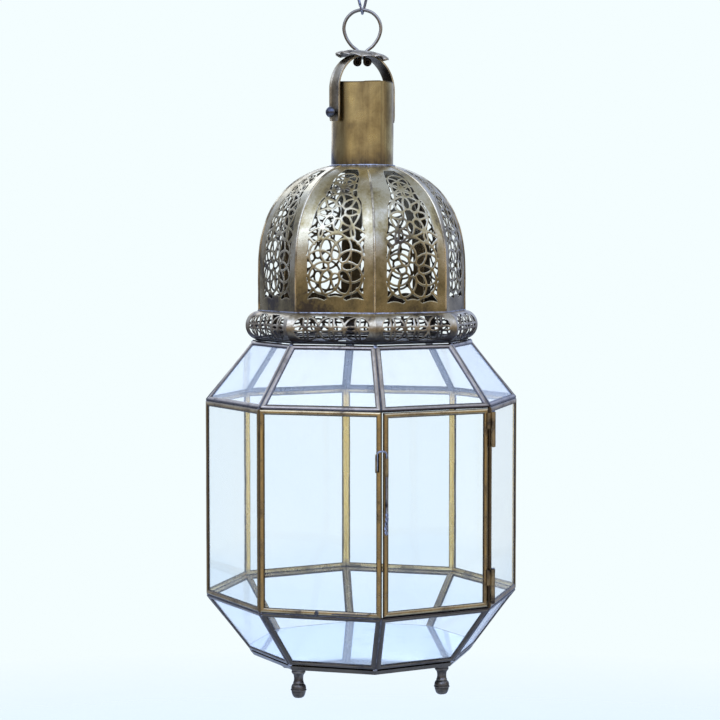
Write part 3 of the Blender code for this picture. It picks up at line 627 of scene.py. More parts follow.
def came_frame(shape, outline, matrix, seed, darkening=(0, 0, 0, 0)):
    """Adds a mitred frame of folded came round an outline, a little uneven along its length.

    Each side in turn, from the foot, may get more painted shade by a share."""
    count = len(outline)
    for side in range(count):
        length = (Vector(outline[(side + 1) % count]) - Vector(outline[side])).length
        steps = max(4, round(length / 0.009))
        rings = [[] for _ in range(steps + 1)]
        # Painted shade: darker towards both edges of the came's faces, full in its slot, plus each side's own
        # share.
        shades = [
            darkening[side] + (abs(inset - 2.75) / 2.6 if abs(depth) > 0.95 else 1.0)
            for inset, depth in CAME_SECTION
        ]
        for inset, depth in CAME_SECTION:
            corners = inset_corners(outline, inset * MM)
            a, b = corners[side], corners[(side + 1) % count]
            normal = Vector((-(b - a).y, (b - a).x)).normalized()
            for step in range(steps + 1):
                share = step / steps
                spot = a.lerp(b, share)
                fade = math.sin(math.pi * share) ** 0.5 if 0 < share < 1 else 0
                key = Vector((spot.x, spot.y, side * 0.37))
                sway = 0.00016 * fade * wobble(key, 30, seed)
                lift = 0.00010 * fade * wobble(key, 45, seed + 7)
                edge = spot + normal * sway
                y = depth * MM + (
                    lift if abs(depth) < 1.9 else min(0.0, lift) if depth > 0 else max(0.0, lift)
                )
                rings[step].append(Vector((edge.x, y, edge.y)))
        shape.rings(rings, matrix=matrix, shades=[shades] * len(rings))


lower = Level(
    R_BASE + (R_WIDE - R_BASE) * (Z_CAGE_FOOT - Z_BASE) / (Z_LOW - Z_BASE), R_WIDE, Z_CAGE_FOOT, Z_LOW
)
side = Level(R_WIDE, R_WIDE, Z_LOW + GAP, Z_HIGH - GAP)
shoulder = Level(R_WIDE, R_SHOULDER, Z_HIGH, Z_SHOULDER)
# The last of each row is each side's share of extra painted shade, from the foot.
for title, level, panes, node, paint, darkening in (
    ("lower_cames", lower, range(SIDES), "lower_cage", brass_low, (0.1, 0, 0.25, 0)),
    ("side_cames", side, range(1, SIDES), "side_cage", brass_came, (0.1, 0, 0.1, 0)),
    ("shoulder_cames", shoulder, range(SIDES), "shoulder_cage", brass_shoulder, (0.38, 0.05, 0.25, 0.05)),
):
    shape = Shape()
    for index in panes:
        came_frame(shape, level.outline(), level.panel(index), index + 10 * len(title), darkening=darkening)
    shape.piece(title, paint, "lantern", (node,))

# Door frame, from its CAD box.
door_low, door_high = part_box("door_frame")
shape = Shape()
door_matrix = Matrix.Translation((0, door_low.y + WALL / 2, 0))
DOOR_EASE, DOOR_EASE_LEFT, DOOR_EASE_RIGHT = 0.0008, 0.0014, 0.0018
door_left, door_right = door_low.x + DOOR_EASE_LEFT, door_high.x - DOOR_EASE_RIGHT
door_foot, door_head = door_low.z + DOOR_EASE, door_high.z - DOOR_EASE
door_outline = [
    (door_left, door_foot), (door_right, door_foot), (door_right, door_head), (door_left, door_head)
]
came_frame(shape, door_outline, door_matrix, 91)
shape.piece("door_cames", brass_came, "door", ("door_frame",))

# Base: an eight-sided rim of came round a level pane.
base_outline = [tuple((turned(i * TURN + HALF) @ Vector((R_BASE, 0, 0))).xy) for i in range(SIDES)]
BASE_SECTION = (
    (0.0, 0.35), (0.25, 0.0), (2.0, 0.0), (6.0, 0.05), (8.6, 0.2), (8.8, 0.6), (8.8, 1.1),
    (5.0, 1.1), (5.0, 3.7), (8.8, 3.7), (8.6, 4.2), (5.0, 4.5), (0.5, 4.55), (-2.6, 4.55), (-3.0, 4.2),
)
shape = Shape()
for i in range(SIDES):
    rings = [[] for _ in range(9)]
    for inset, height in BASE_SECTION:
        corners = inset_corners(base_outline, inset * MM)
        a, b = corners[i], corners[(i + 1) % SIDES]
        for step in range(9):
            spot = a.lerp(b, step / 8)
            sag = 0.00015 * wobble((spot.x, spot.y, 0), 40, 5) * (0 < step < 8) * (0.3 < height < 4.3)
            rings[step].append(Vector((spot.x, spot.y, Z_BASE + height * MM + sag)))
    # Painted shade: the rim's slot and outer lip carry a strong shade, the rest a light one.
    shades = [0.9 if height in (1.1, 3.7) or inset > 8 else 0.25 for inset, height in BASE_SECTION]
    shape.rings(rings, shades=[shades] * len(rings))
shape.piece("base_cames", brass_came, "lantern", ("base_frame",))

for node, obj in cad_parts.items():
    if "glass" in node:
        paint = glass_side if "side" in node or "door" in node else glass_lower
        if node.startswith("shoulder"):
            paint = glass_shoulder
        if node in CLEARER_PANES:
            paint = glass_edge
        obj.material_slots[0].material = paint

# Base: a silvered mirror laid on the rails' feet, grey on its back. The pane in the rim backs it.
n = Nodes(bpy.data.materials.new("mirror_silver"))
tarnish = n.noise(34.0, 5.0, 0.6)
silver = n.ramp(tarnish, [(0.30, (0.62, 0.68, 0.74)), (0.44, (0.76, 0.83, 0.91)), (0.75, (0.80, 0.87, 0.95))])
facing_up = n.split_z("Normal")
backing = n.ramp(n.noise(60.0, 4.0), [(0.35, (0.055, 0.057, 0.062)), (0.65, (0.10, 0.10, 0.105))])
top = n.span(facing_up, 0.2, 0.6)
n.put(n.shader.inputs["Base Color"], n.blend(top, backing, silver))
n.put(n.shader.inputs["Metallic"], n.math("MULTIPLY", top, 0.68))
n.put(
    n.shader.inputs["Roughness"],
    n.math("SUBTRACT", 0.55, n.math("MULTIPLY", top, n.span(tarnish, 0.2, 0.8, 0.45, 0.53))),
)
n.bump(n.noise(12.0, 2.0), 0.05, 0.0004)
mirror_paint = n.owner
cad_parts["base_glass"].material_slots[0].material = mirror_paint
MIRROR_LOW, MIRROR_HIGH = Z_CAGE_FOOT + 0.0040, Z_CAGE_FOOT + 0.0060
shape = Shape()
rings = []
for z, shrink in (
    (MIRROR_LOW, 0.0003), (MIRROR_LOW + 0.0003, 0.0), (MIRROR_HIGH - 0.0003, 0.0), (MIRROR_HIGH, 0.0003)
):
    reach = R_BASE + (R_WIDE - R_BASE) * (MIRROR_LOW - Z_BASE) / (Z_LOW - Z_BASE) - 0.0031 - shrink
    rings.append([outward(HALF + index * TURN) * reach + Vector((0, 0, z)) for index in range(SIDES)])
shape.rings(rings)
shape.piece("base_mirror", mirror_paint, "lantern", angle=30)

# Solder seams in the valleys between the frames, set back from their faces, and lumps where frames meet.
seams = Shape()


def seam(a, b, radius, seed):
    steps = max(6, round((b - a).length / 0.006))
    path = [
        a.lerp(b, i / steps) + wobble3(a.lerp(b, i / steps), 90, seed) * 0.00012 for i in range(steps + 1)
    ]
    tube(seams, path, lambda share: radius * (1 + 0.12 * noise.noise(Vector((share * 9, seed, 0)))), 8)


def corner_at(radius, z, index):
    return outward(HALF + index * TURN) * radius + Vector((0, 0, z))


SEAM_R = 1.15 * MM
SEAM_BACK = 2.05 * MM


def post_seam(index, r_low, z_low, r_high, z_high, seed):
    """A seam up a corner between two levels, stopping short of both."""
    foot = corner_at(r_low - SEAM_BACK, z_low + 0.001, index)
    seam(foot, corner_at(r_high - SEAM_BACK, z_high - 0.001, index), SEAM_R, index + seed)


for index in range(SIDES):
    post_seam(index, lower.r_low, Z_CAGE_FOOT, R_WIDE, Z_LOW, 0)
    post_seam(index, R_WIDE, Z_HIGH, R_SHOULDER, Z_SHOULDER, 20)
    if index not in (0, SIDES - 1):
        post_seam(index, R_WIDE, Z_LOW, R_WIDE, Z_HIGH, 40)
    if index != SIDES - 1:
        for z, seed in ((Z_LOW, 60), (Z_HIGH, 80)):
            a, b = corner_at(R_WIDE - SEAM_BACK, z, index), corner_at(R_WIDE - SEAM_BACK, z, index + 1)
            seam(a.lerp(b, 0.02), a.lerp(b, 0.98), SEAM_R, index + seed)
seams.piece("solder_seams", solder_dark, "lantern", angle=60)

lumps = Shape()
for index in range(SIDES):
    turn = HALF + index * TURN
    beside_door = index in (0, SIDES - 1)
    for z, radius, lean, size, lift in (
        (Z_HIGH, R_WIDE - 0.0030, 0.45, 2.6, 3.4 if beside_door else 0.6),
        (Z_LOW, R_WIDE - 0.0030, -0.35, 2.6, -3.4 if beside_door else -0.6),
        (Z_SHOULDER - 0.0022, R_SHOULDER - 0.0002, 0.5, 2.4, 0.0),
        (Z_CAGE_FOOT + 0.0006, lower.r_low - 0.0018, -0.4, 2.3, 0.0),
    ):
        slope = (R_WIDE - R_BASE) / (Z_LOW - Z_BASE)
        if lift > 0:
            slope = (R_SHOULDER - R_WIDE) / (Z_SHOULDER - Z_HIGH)
        along_slope = slope * lift * MM * (1 if abs(lift) > 1 else 0)
        centre = outward(turn) * (radius + along_slope) + Vector((0, 0, z + lift * MM))
        facing = outward(turn) + Vector((0, 0, lean))
        blob(lumps, centre, facing, size * MM, 1.5 * MM, index * 3.3 + z * 100, 0.5)
lumps.piece("solder_lumps", solder_grey, "lantern", angle=80)

# ---------------------------------------------------------------- pierced sheet

STRAP_HALF = 1.08
FILLET = 0.36
FAR = 99.0  # a distance that counts for nothing


def softly_nearest(distances):
    """A smooth least of several distances, in millimetres, which fills the angles where straps cross."""
    stack = np.stack(distances)
    return -FILLET * np.log(np.exp(-stack / FILLET).sum(0))


def rosette_lines(x, y, scale, start=0.0):
    """Distances to the lines of an eight-petalled rosette centred on the origin, in millimetres."""
    reach = np.hypot(x, y)
    lines = []
    for spoke in range(8):
        angle = start + spoke * math.pi / 4
        cx, cy = math.cos(angle), math.sin(angle)
        ring = np.abs(np.hypot(x - 15.9 * scale * cx, y - 15.9 * scale * cy) - 15.4 * scale)
        lines.append(np.where(reach > 10.1 * scale, ring, FAR))
        star = np.abs(np.hypot(x - 10.85 * scale * cx, y - 10.85 * scale * cy) - 4.15 * scale)
        lines.append(np.where(reach < 10.3 * scale, star, FAR))
    return lines


def pierced_sheet(grid, normals, metal, thick, matrices, edge=0.5):
    """Closed sheets of this thickness, one per matrix, wherever metal (a distance in mm) is above zero.

    grid and normals are arrays of points [row, column]. The cut edges are rounded over."""
    rows, cols = metal.shape
    points, outs, depths, index = [], [], [], {}

    def vertex(key, point, normal, depth):
        if key not in index:
            index[key] = len(points)
            points.append(point)
            outs.append(normal)
            depths.append(depth)
        return index[key]

    inside = metal > 0
    faces = []
    for r in range(rows - 1):
        if not inside[r : r + 2].any():
            continue
        for c in range(cols - 1):
            ring = ((r, c), (r, c + 1), (r + 1, c + 1), (r + 1, c))
            held = [inside[p] for p in ring]
            if not any(held):
                continue
            face = []
            for k in range(4):
                p, q = ring[k], ring[(k + 1) % 4]
                if held[k]:
                    face.append(vertex(p, grid[p], normals[p], metal[p]))
                if held[k] != held[(k + 1) % 4]:
                    low, high = (p, q) if p < q else (q, p)
                    t = metal[low] / (metal[low] - metal[high])
                    t = min(0.93, max(0.07, t))
                    face.append(
                        vertex(
                            (low, high),
                            grid[low] * (1 - t) + grid[high] * t,
                            normals[low] * (1 - t) + normals[high] * t,
                            0.0,
                        )
                    )
            faces.append(tuple(face))
    used = {}
    for face in faces:
        for i in range(len(face)):
            used[(face[i], face[(i + 1) % len(face)])] = True
    rim = [pair for pair in used if (pair[1], pair[0]) not in used]
    points, outs = np.array(points), np.array(outs)
    outs /= np.linalg.norm(outs, axis=1)[:, None]
    share = np.clip(np.array(depths) / edge, 0, 1)
    half = thick / 2 * (0.5 + 0.5 * np.sqrt(1 - (1 - share) ** 2))
    outer = points + outs * half[:, None]
    inner = points - outs * half[:, None]
    count = len(points)
    solid = faces + [tuple(count + i for i in reversed(face)) for face in faces]
    solid += [(b, a, count + a, count + b) for a, b in rim]
    both = np.vstack([outer, inner])
    made = []
    for number, matrix in enumerate(matrices):
        turn = np.array(matrix)[:3, :3]
        mesh = bpy.data.meshes.new(f"pierced_{number}")
        mesh.from_pydata((both @ turn.T).tolist(), [], solid)
        made.append(mesh)
    return made


def filled(values, columns):
    """One value for each row, repeated along its columns."""
    return np.repeat(values[:, None], columns, 1)


def bent_sheet(across, radius, height, out_r, out_z):
    """Points of a sheet on the side that faces -Y, by row and column, and its outward normals there."""
    columns = across.shape[1]
    points = np.stack([across, -filled(radius * math.cos(HALF), columns), filled(height, columns)], -1)
    normals = np.stack([np.zeros_like(across), -filled(out_r, columns), filled(out_z, columns)], -1)
    return points, normals / np.linalg.norm(normals, axis=-1, keepdims=True)


# Dome gores. Rows run up the gore by arc length along its middle, columns across it.
GORE_ROWS, GORE_COLS = 236, 108
TOP_ANGLE = math.acos((R_DOME_TOP / R_DOME) ** (DOME_POWER / 2))
DOME_RISE = (Z_DOME_TOP - Z_SPRING) / math.sin(TOP_ANGLE) ** (2 / DOME_POWER)
fine_angle = np.linspace(0, TOP_ANGLE, 2000)[1:]
FOOT_DROP = 0.0005
profile_r = np.concatenate([[R_DOME, R_DOME, R_DOME], R_DOME * np.cos(fine_angle) ** (2 / DOME_POWER)])
profile_z = np.concatenate(
    [[Z_DOME - FOOT_DROP, Z_DOME, Z_SPRING], Z_SPRING + DOME_RISE * np.sin(fine_angle) ** (2 / DOME_POWER)]
)
profile_s = np.concatenate(
    [[-FOOT_DROP, 0], np.cumsum(np.hypot(np.diff(profile_r[1:]) * math.cos(HALF), np.diff(profile_z[1:])))]
)
gore_length = profile_s[-1]
rows = np.linspace(-FOOT_DROP, gore_length, GORE_ROWS)
row_r, row_z = np.interp(rows, profile_s, profile_r), np.interp(rows, profile_s, profile_z)
slope_r, slope_z = np.gradient(row_r * math.cos(HALF), rows), np.gradient(row_z, rows)
columns = np.linspace(-1, 1, GORE_COLS)
half_width = row_r * math.sin(HALF) - 0.0006
across = columns[None, :] * half_width[:, None]
along = filled(rows, GORE_COLS)
grid, normals = bent_sheet(across, row_r, row_z, slope_z, -slope_r)
crown = 0.0007 * (1 - columns[None, :] ** 2) * np.ones_like(along)
grid = grid + normals * (crown - 0.0004)[..., None]

ROSETTE_A, ROSETTE_B, FLOWER_C = 44.7, 97.6, 127.2
WINDOW_HALF = (
    (0, 29.2), (12.4, 29.2), (46, 29.2), (66, 29.0), (76, 29.3), (84, 25.0), (92, 24.0), (100, 22.6),
    (108, 21.0),
    (116, 15.8), (122, 14.2), (138, 12.6), (150, 9.4), (156, 6.8), (170, 1.0),
)


def hump(t, centre, half, tall):
    """A low rounded bump of this height and half width, centred here."""
    return tall * np.clip(1 - ((t - centre) / half) ** 2, 0, None)


def bowed_strap(x, y, a, b, bow=0.0):
    """Distance to a strap between two points, bowed sideways as an arc."""
    (ax, ay), (bx, by) = a, b
    length = math.hypot(bx - ax, by - ay)
    ux, uy = (bx - ax) / length, (by - ay) / length
    u = (x - ax) * ux + (y - ay) * uy
    v = (y - ay) * ux - (x - ax) * uy
    arc_r = (length**2 / 4 + bow**2) / (2 * abs(bow))
    side = math.copysign(1, bow)
    bend = np.abs(np.hypot(u - length / 2, side * v + arc_r - abs(bow)) - arc_r)
    ends = np.minimum(np.hypot(u, v), np.hypot(u - length, v))
    return np.where((u > 0) & (u < length), bend, ends)


def gore_metal(shift_x, shift_y):
    """The pierced pattern of one gore, above zero where there is metal, set off a little from its middle."""
    y = along / MM - shift_y
    x = across / MM - shift_x - 0.012 * np.clip(y - ROSETTE_A, 0, None)
    aside = np.abs(x)
    window = np.interp(y[:, 0], *zip(*WINDOW_HALF))[:, None] - aside
    window = np.minimum(window, y - 12.4 - hump(aside, 0, 11, 3.6) - hump(aside, 20.4, 9.4, 2.2))
    window = window - hump(y, 24, 9.6, 1.8) - hump(y, ROSETTE_A, 11, 0.9) - hump(y, 65.5, 9.6, 1.5)
    window = np.minimum(window, 158.0 - y)
    round_b = np.hypot(x, y - ROSETTE_B)
    window = np.maximum(window, 21.6 - round_b)
    lines = [np.where(y < 77.5, line, FAR) for line in rosette_lines(x, y - ROSETTE_A, 1.0, math.pi / 2)]
    lines.append(bowed_strap(aside, y, (21.5, ROSETTE_A - 21.5), (30.2, ROSETTE_A - 31.2), 0.1) - 0.25)
    lines.append(bowed_strap(aside, y, (21.5, ROSETTE_A + 21.5), (30.2, ROSETTE_A + 30.4), 0.1) - 0.25)
    lines += [
        np.where(round_b < 20.8, line, FAR) for line in rosette_lines(x, y - ROSETTE_B, 0.95, math.pi / 2)
    ]
    lines.append(np.abs(round_b - 20.8))
    knot = (14.7, ROSETTE_B - 14.7)
    lines.append(bowed_strap(aside, y, knot, (29.6, 75.4), 1.0))
    lines.append(bowed_strap(aside, y, knot, (17.3, 70.1), 1.9))
    lines.append(bowed_strap(aside, y, knot, (17.3, 70.1), -1.9))
    for spoke in range(7):
        angle = math.pi / 6 + spoke * math.pi / 3
        out = 10.4 if spoke < 6 else 0
        circle = np.abs(
            np.hypot(x - out * math.cos(angle), y - FLOWER_C - out * math.sin(angle)) - 10.4
        ) + 0.25
        lines.append(np.where((y > 112.0) & (round_b > 20.8), circle, FAR))
    strap = STRAP_HALF - softly_nearest(lines)
    metal = -softly_nearest([-strap, window])
    return np.where(window < -0.6, np.maximum(metal, 0.6), metal)


# Each gore was cut by hand, so no two patterns sit quite alike on their gores.
for index in range(SIDES):
    shift_x, shift_y = (2.0, -3.4) if index == 0 else (0.6 * math.cos(2 * index), 0.7 * math.sin(3 * index))
    if index == SIDES - 1:
        shift_x, shift_y = 0.6, 0.0
    (mesh,) = pierced_sheet(grid, normals, gore_metal(shift_x, shift_y), 0.0009, [turned(index * TURN)])
    place(f"gore_sheet_{index + 1}", mesh, brass_gore, "lantern", (f"dome_gore_{index + 1}",), angle=50)

# Ribs where the gores are soldered together.
ribs = Shape()
for index in range(SIDES):
    turn = HALF + index * TURN
    path = []
    for step in range(61):
        s = gore_length * step / 60
        r, z = np.interp(s, profile_s, profile_r), np.interp(s, profile_s, profile_z)
        spot = outward(turn) * (r - 0.0003) + Vector((0, 0, z))
        path.append(spot + wobble3(spot, 60, 2) * 0.0002)
    tube(ribs, path, lambda share: 0.00115 * (1 + 0.15 * noise.noise(Vector((share * 14, turn, 0)))), 10)
ribs.piece("dome_ribs", brass_rib, "lantern", angle=60)

# Collar: a pierced half-round on each side, mitred at the corners.
COLLAR_ROWS, COLLAR_COLS = 64, 124
bulge = R_COLLAR - R_DOME
mid_z, tall = (Z_COLLAR_LOW + Z_COLLAR_HIGH) / 2, (Z_COLLAR_HIGH - Z_COLLAR_LOW) / 2
angles = np.linspace(0, math.pi, COLLAR_ROWS)
sheet_r = R_DOME + (bulge - 0.0005) * np.sin(angles)
sheet_z = mid_z + (tall - 0.0005) * np.cos(angles)
arc = np.concatenate([[0], np.cumsum(np.hypot(np.diff(sheet_r), np.diff(sheet_z)))])
arc -= arc[-1] / 2
half_long = sheet_r * math.sin(HALF) + 0.0001
columns = np.linspace(-1, 1, COLLAR_COLS)
across = columns[None, :] * half_long[:, None]
along = filled(arc, COLLAR_COLS)
grid, normals = bent_sheet(across, sheet_r, sheet_z, np.sin(angles) / bulge, np.cos(angles) / tall)
x, y = across / MM, along / MM
UNIT_R, PETAL_BOW = 12.95, 2.25
petal_r = (UNIT_R**2 / 4 + PETAL_BOW**2) / (2 * PETAL_BOW)
lines = []
for number in (-1, 0, 1):
    off = x - number * 2 * UNIT_R
    reach = np.hypot(off, y)
    lines.append(np.abs(reach - UNIT_R))
    for a, b in ((off, y), (-off, y), (y, off), (-y, off)):
        bow = np.abs(np.hypot(a - UNIT_R / 2, np.abs(b) + petal_r - PETAL_BOW) - petal_r)
        lines.append(np.where((a > 0) & (a < UNIT_R), bow, FAR))
past = np.maximum(np.abs(x) - 2 * UNIT_R, 0)
in_window = UNIT_R + 0.7 - np.hypot(past, y)
strap = 0.98 - softly_nearest(lines)
metal = -softly_nearest([-strap, in_window])
gore_turns = [turned(index * TURN) for index in range(SIDES)]
for index, mesh in enumerate(pierced_sheet(grid, normals, metal, 0.0008, gore_turns)):
    stands = ("collar",) if index == 0 else ()
    place(f"collar_sheet_{index + 1}", mesh, brass_collar, "lantern", stands, angle=50)

# Eight-sided ledges that close the collar against the gores above and the shoulder below.
for title, low, high, r_in, r_out, paint in (
    ("collar_ledge", Z_COLLAR_HIGH - 0.0004, Z_DOME + 0.0006, 0.1000, R_DOME + 0.0012, solder_grey),
    ("collar_seat", Z_SHOULDER - 0.0003, Z_COLLAR_LOW + 0.0005, 0.0995, 0.1072, solder_dark),
):
    shape = Shape()
    rings = []
    section = [
        (r_in, low), (r_out, low), (r_out + 0.0002, (low + high) / 2), (r_out - 0.0002, high), (r_in, high)
    ]
    for index in range(SIDES):
        for share in np.linspace(0, 1, 6)[:-1]:
            ring = []
            for radius, z in section:
                spot = corner_at(radius, z, index - 1).lerp(corner_at(radius, z, index), float(share))
                ring.append(spot + outward(index * TURN) * 0.0002 * wobble(spot, 80, 4) * (radius > 0.102))
            rings.append(ring)
    shape.rings(rings, closed=True)
    shape.piece(title, paint, "lantern", angle=50)

# ---------------------------------------------------------------- neck, bail, washer, ring and link

# Neck: one sheet rolled round, its end lapped over its start.
SEAM_TURN = math.radians(-10.1)
LAP = math.radians(16)
NECK_SHEET = 0.0007
shape = Shape()
rings = []
shades = []
steps = 150
for step in range(steps + 1):
    angle = (2 * math.pi + LAP) * step / steps
    under = max(0.0, 1 - angle / (2 * LAP))
    lifted = max(0.0, (angle - 2 * math.pi) / LAP)
    ease = under * under * (3 - 2 * under)
    radius = NECK_R - 0.0002 - 0.0009 * ease + 0.0004 * lifted**3
    turn = SEAM_TURN + angle
    ring = []
    rim = Z_NECK_TOP - 0.0008 + 0.0005 * math.sin(3 * angle) + (0.0003 if angle > 6 else 0)
    heights = np.append(np.linspace(Z_NECK, rim - 0.0013, 25), [rim - 0.0011, rim])
    for run, depth in ((heights, 0.0), (heights[::-1], NECK_SHEET)):
        for z in run:
            dent = 0.00025 * wobble((math.sin(turn) * 0.03, math.cos(turn) * 0.03, z), 35, 4)
            ring.append(outward(turn) * (radius + dent - depth) + Vector((0, 0, z)))
    rings.append(ring)
    # Painted shadow on the strip next to the lapped seam, and painted shade down the neck's left side; the top
    # rim band is darker too.
    painted_shade = 0.80 if LAP - 0.02 < angle < LAP + 0.24 else 0.0
    left_side_shade = 0.62 * math.exp(-((math.degrees(turn) - 360 + 68) / 22) ** 2)
    painted_shade = max(painted_shade, left_side_shade)
    shades.append(
        [max(painted_shade, 0.85 if z > rim - 0.0012 else 0.0) for z in list(heights) + list(heights[::-1])]
    )
shape.rings(rings, shades=shades)
shape.piece("neck_sheet", brass_neck, "lantern", ("neck_tube",))

shape = Shape()
rings = []
for step in range(96):
    angle = 2 * math.pi * step / 96
    centre = outward(angle) * (NECK_R + 0.0004) + Vector((0, 0, Z_NECK + 0.0006))
    fat = 0.0015 * (1 + 0.35 * wobble(centre, 70, 3))
    ring = []
    for k in range(10):
        a = 2 * math.pi * k / 10
        ring.append(centre + outward(angle) * math.cos(a) * fat + Vector((0, 0, math.sin(a) * fat * 0.8)))
    rings.append(ring)
shape.rings(rings, closed=True)
shape.piece("neck_solder", solder_grey, "lantern", ("neck_ring",), angle=70)

# Bail: a channel strap, arched over the neck.
BAIL_HALF_SPAN, BAIL_WIDTH, BAIL_SHEET, BAIL_FLANGE = 0.0350, 0.0150, 0.0014, 0.0022
LEG_FOOT = -0.0085
ARCH_Z = Z_CROWN - Z_PIVOT - BAIL_HALF_SPAN
bail_place = Matrix.Translation((0, 0, Z_PIVOT)) @ turned(BAIL_TURN)


def bail_path(steps):
    """(distance out, height, outward direction) along the strap's middle."""
    made = []
    for i in range(9):
        z = LEG_FOOT + (ARCH_Z - LEG_FOOT) * i / 9
        made.append((-BAIL_HALF_SPAN, z, (-1.0, 0.0)))
    for i in range(steps + 1):
        angle = math.pi * (1 - i / steps)
        made.append(
            (
                BAIL_HALF_SPAN * math.cos(angle), ARCH_Z + BAIL_HALF_SPAN * math.sin(angle),
                (math.cos(angle), math.sin(angle)),
            )
        )
    for i in range(8, -1, -1):
        z = LEG_FOOT + (ARCH_Z - LEG_FOOT) * i / 9
        made.append((BAIL_HALF_SPAN, z, (1.0, 0.0)))
    return made


# Section of the strap as (across, outward) shares of its half width and millimetres.
BAIL_SECTION = (
    (-0.96, -1.30), (-0.76, -1.40), (0.0, -1.40), (0.76, -1.40), (0.96, -1.30), (1.0, -1.0), (1.0, 0.55),
    (0.97, 0.80), (0.90, 0.82), (0.84, 0.60), (0.74, -0.30), (0.64, -0.58), (0.0, -0.62), (-0.64, -0.58),
    (-0.74, -0.30), (-0.84, 0.60), (-0.90, 0.82), (-0.97, 0.80), (-1.0, 0.55), (-1.0, -1.0),
)
shape = Shape()
rings = []
path = bail_path(56)
for i, (out, up, (ox, oz)) in enumerate(path):
    end = min(i, len(path) - 1 - i)
    narrow = 1 - 0.16 * (1 - min(1, end / 2)) ** 2
    ring = []
    for w, h in BAIL_SECTION:
        spot = Vector((w * BAIL_WIDTH / 2 * narrow, -(out + ox * h * MM), up + oz * h * MM))
        ring.append(spot + wobble3(spot, 60, 8) * 0.0001)
    rings.append(ring)
# Painted shade inside the strap's channel.
shades = [0.55 if abs(w) < 0.9 and h > -0.7 else 0.0 for w, h in BAIL_SECTION]
shape.rings(rings, matrix=bail_place, shades=[shades] * len(rings))
shape.piece("bail_strap", brass_bail, "bail", ("bail",))

# Rivets: a round head on one side, and one hammered nearly flat on the other.
LIP_FACE = BAIL_HALF_SPAN + BAIL_FLANGE - BAIL_SHEET + GAP
FLOOR_FACE = BAIL_HALF_SPAN + GAP
for number, flip, domed in ((1, 0, True), (2, math.pi, False)):
    shape = Shape()
    profile = [
        (0.0, NECK_R - 0.0034), (0.0030, NECK_R - 0.0032), (0.0035, NECK_R - 0.0017),
        (0.0020, NECK_R - 0.0016),
    ]
    if domed:
        profile += [(0.0020, LIP_FACE + 0.0002), (0.0040, LIP_FACE + 0.0002)]
        centre, wide, tall = LIP_FACE + 0.0034, 0.0054, 0.0049
    else:
        profile += [(0.0020, FLOOR_FACE + 0.0001), (0.0024, FLOOR_FACE + 0.0001)]
        centre, wide, tall = FLOOR_FACE + 0.0004, 0.0031, 0.0013
    for step in range(15):
        angle = math.radians(-40) + math.radians(130) * step / 14
        profile.append((wide * math.cos(angle), centre + tall * math.sin(angle)))
    lay = Matrix.Translation((0, 0, Z_PIVOT)) @ turned(BAIL_TURN + flip)
    lay = lay @ Matrix.Rotation(math.pi / 2, 4, "X")
    lathe(shape, profile, 32, lay, 0.0002, 250)
    shape.piece(f"rivet_head_{number}", steel_dark, "lantern", (f"bail_rivet_{number}",), angle=50)

# Petalled washer, leaning a little, its petals drooping.
WASHER_R, PETALS = 0.0272, 12
shape = Shape()
levels = 12
rim_steps = PETALS * 12
WASHER_HOLE = 0.0070
lean = Matrix.Translation(
    (0, 0, Z_CROWN + 0.0031)
) @ turned(RING_TURN) @ Matrix.Rotation(math.radians(5), 4, "Y")
tops, bottoms = [], []
for level in range(levels + 1):
    share = level / levels
    ring_top, ring_bottom = [], []
    for step in range(rim_steps):
        angle = 2 * math.pi * step / rim_steps
        petal = abs(math.sin(PETALS * angle / 2))
        radius = WASHER_HOLE + (WASHER_R - WASHER_HOLE) * share
        radius -= 0.0026 * (1 - petal**0.7) * share**3
        droop = 1 + 0.35 * wobble((math.cos(angle), math.sin(angle), 0), 2.2, 9)
        height = -0.0052 * droop * share**2.6 + 0.0010 * (petal - 0.6) * share**2
        point = Vector((radius * math.cos(angle), radius * math.sin(angle), height))
        point += wobble3(point, 130, 6) * 0.0005 * share
        ring_top.append(point + Vector((0, 0, 0.00045)))
        ring_bottom.append(point - Vector((0, 0, 0.00045)))
    tops.append(ring_top)
    bottoms.append(ring_bottom)
shape.rings(tops + bottoms[::-1], closed=True, matrix=lean)
shape.piece("washer_petals", brass_washer, "bail", ("petal_washer",), angle=60)

# Ring: one wire bent to a drop, its ends through the washer and curled up beneath.
RING_TOP, WIRE_SPREAD = Z_CROWN + 0.0443, 0.0024
CURL_R, CURL_Z, RING_WIRE_R = 0.0026, Z_CROWN - 0.0072, 0.0017
RING_BOW = (
    (-9.4, -2.6, 0), (0, 0, 0), (9.4, -2.6, 0), (16.0, -9.4, 0), (18.3, -18.3, 0), (15.9, -27.6, 0),
    (10.9, -35.0, 0),
    (6.0, -39.1, 0), (3.2, -41.8, 0), (2.4, -45.0, 0), (2.4, -48.0, 0),
)
half_ring = [(p.x * MM, RING_TOP + p.y * MM) for p in smooth_path(RING_BOW, 8)[8:]]
half_ring.append((WIRE_SPREAD, CURL_Z + 0.0006))
for step in range(1, 34):
    angle = math.pi + math.radians(9) * step
    half_ring.append((WIRE_SPREAD + CURL_R + CURL_R * math.cos(angle), CURL_Z + CURL_R * math.sin(angle)))
ring_points = [(-px, 0, pz) for px, pz in half_ring[:0:-1]] + [(px, 0, pz) for px, pz in half_ring]
shape = Shape()
tube(shape, ring_points, RING_WIRE_R, 20, matrix=turned(RING_TURN))
for px in (-1, 1):
    core = turned(RING_TURN) @ Vector((px * (WIRE_SPREAD + CURL_R), 0, CURL_Z))
    blob(shape, core, outward(RING_TURN), 1.25 * MM, 1.3 * MM, 4.0, 0.1)
shape.piece("ring_wire", grey_wire, "ring", ("hang_ring",), angle=60)

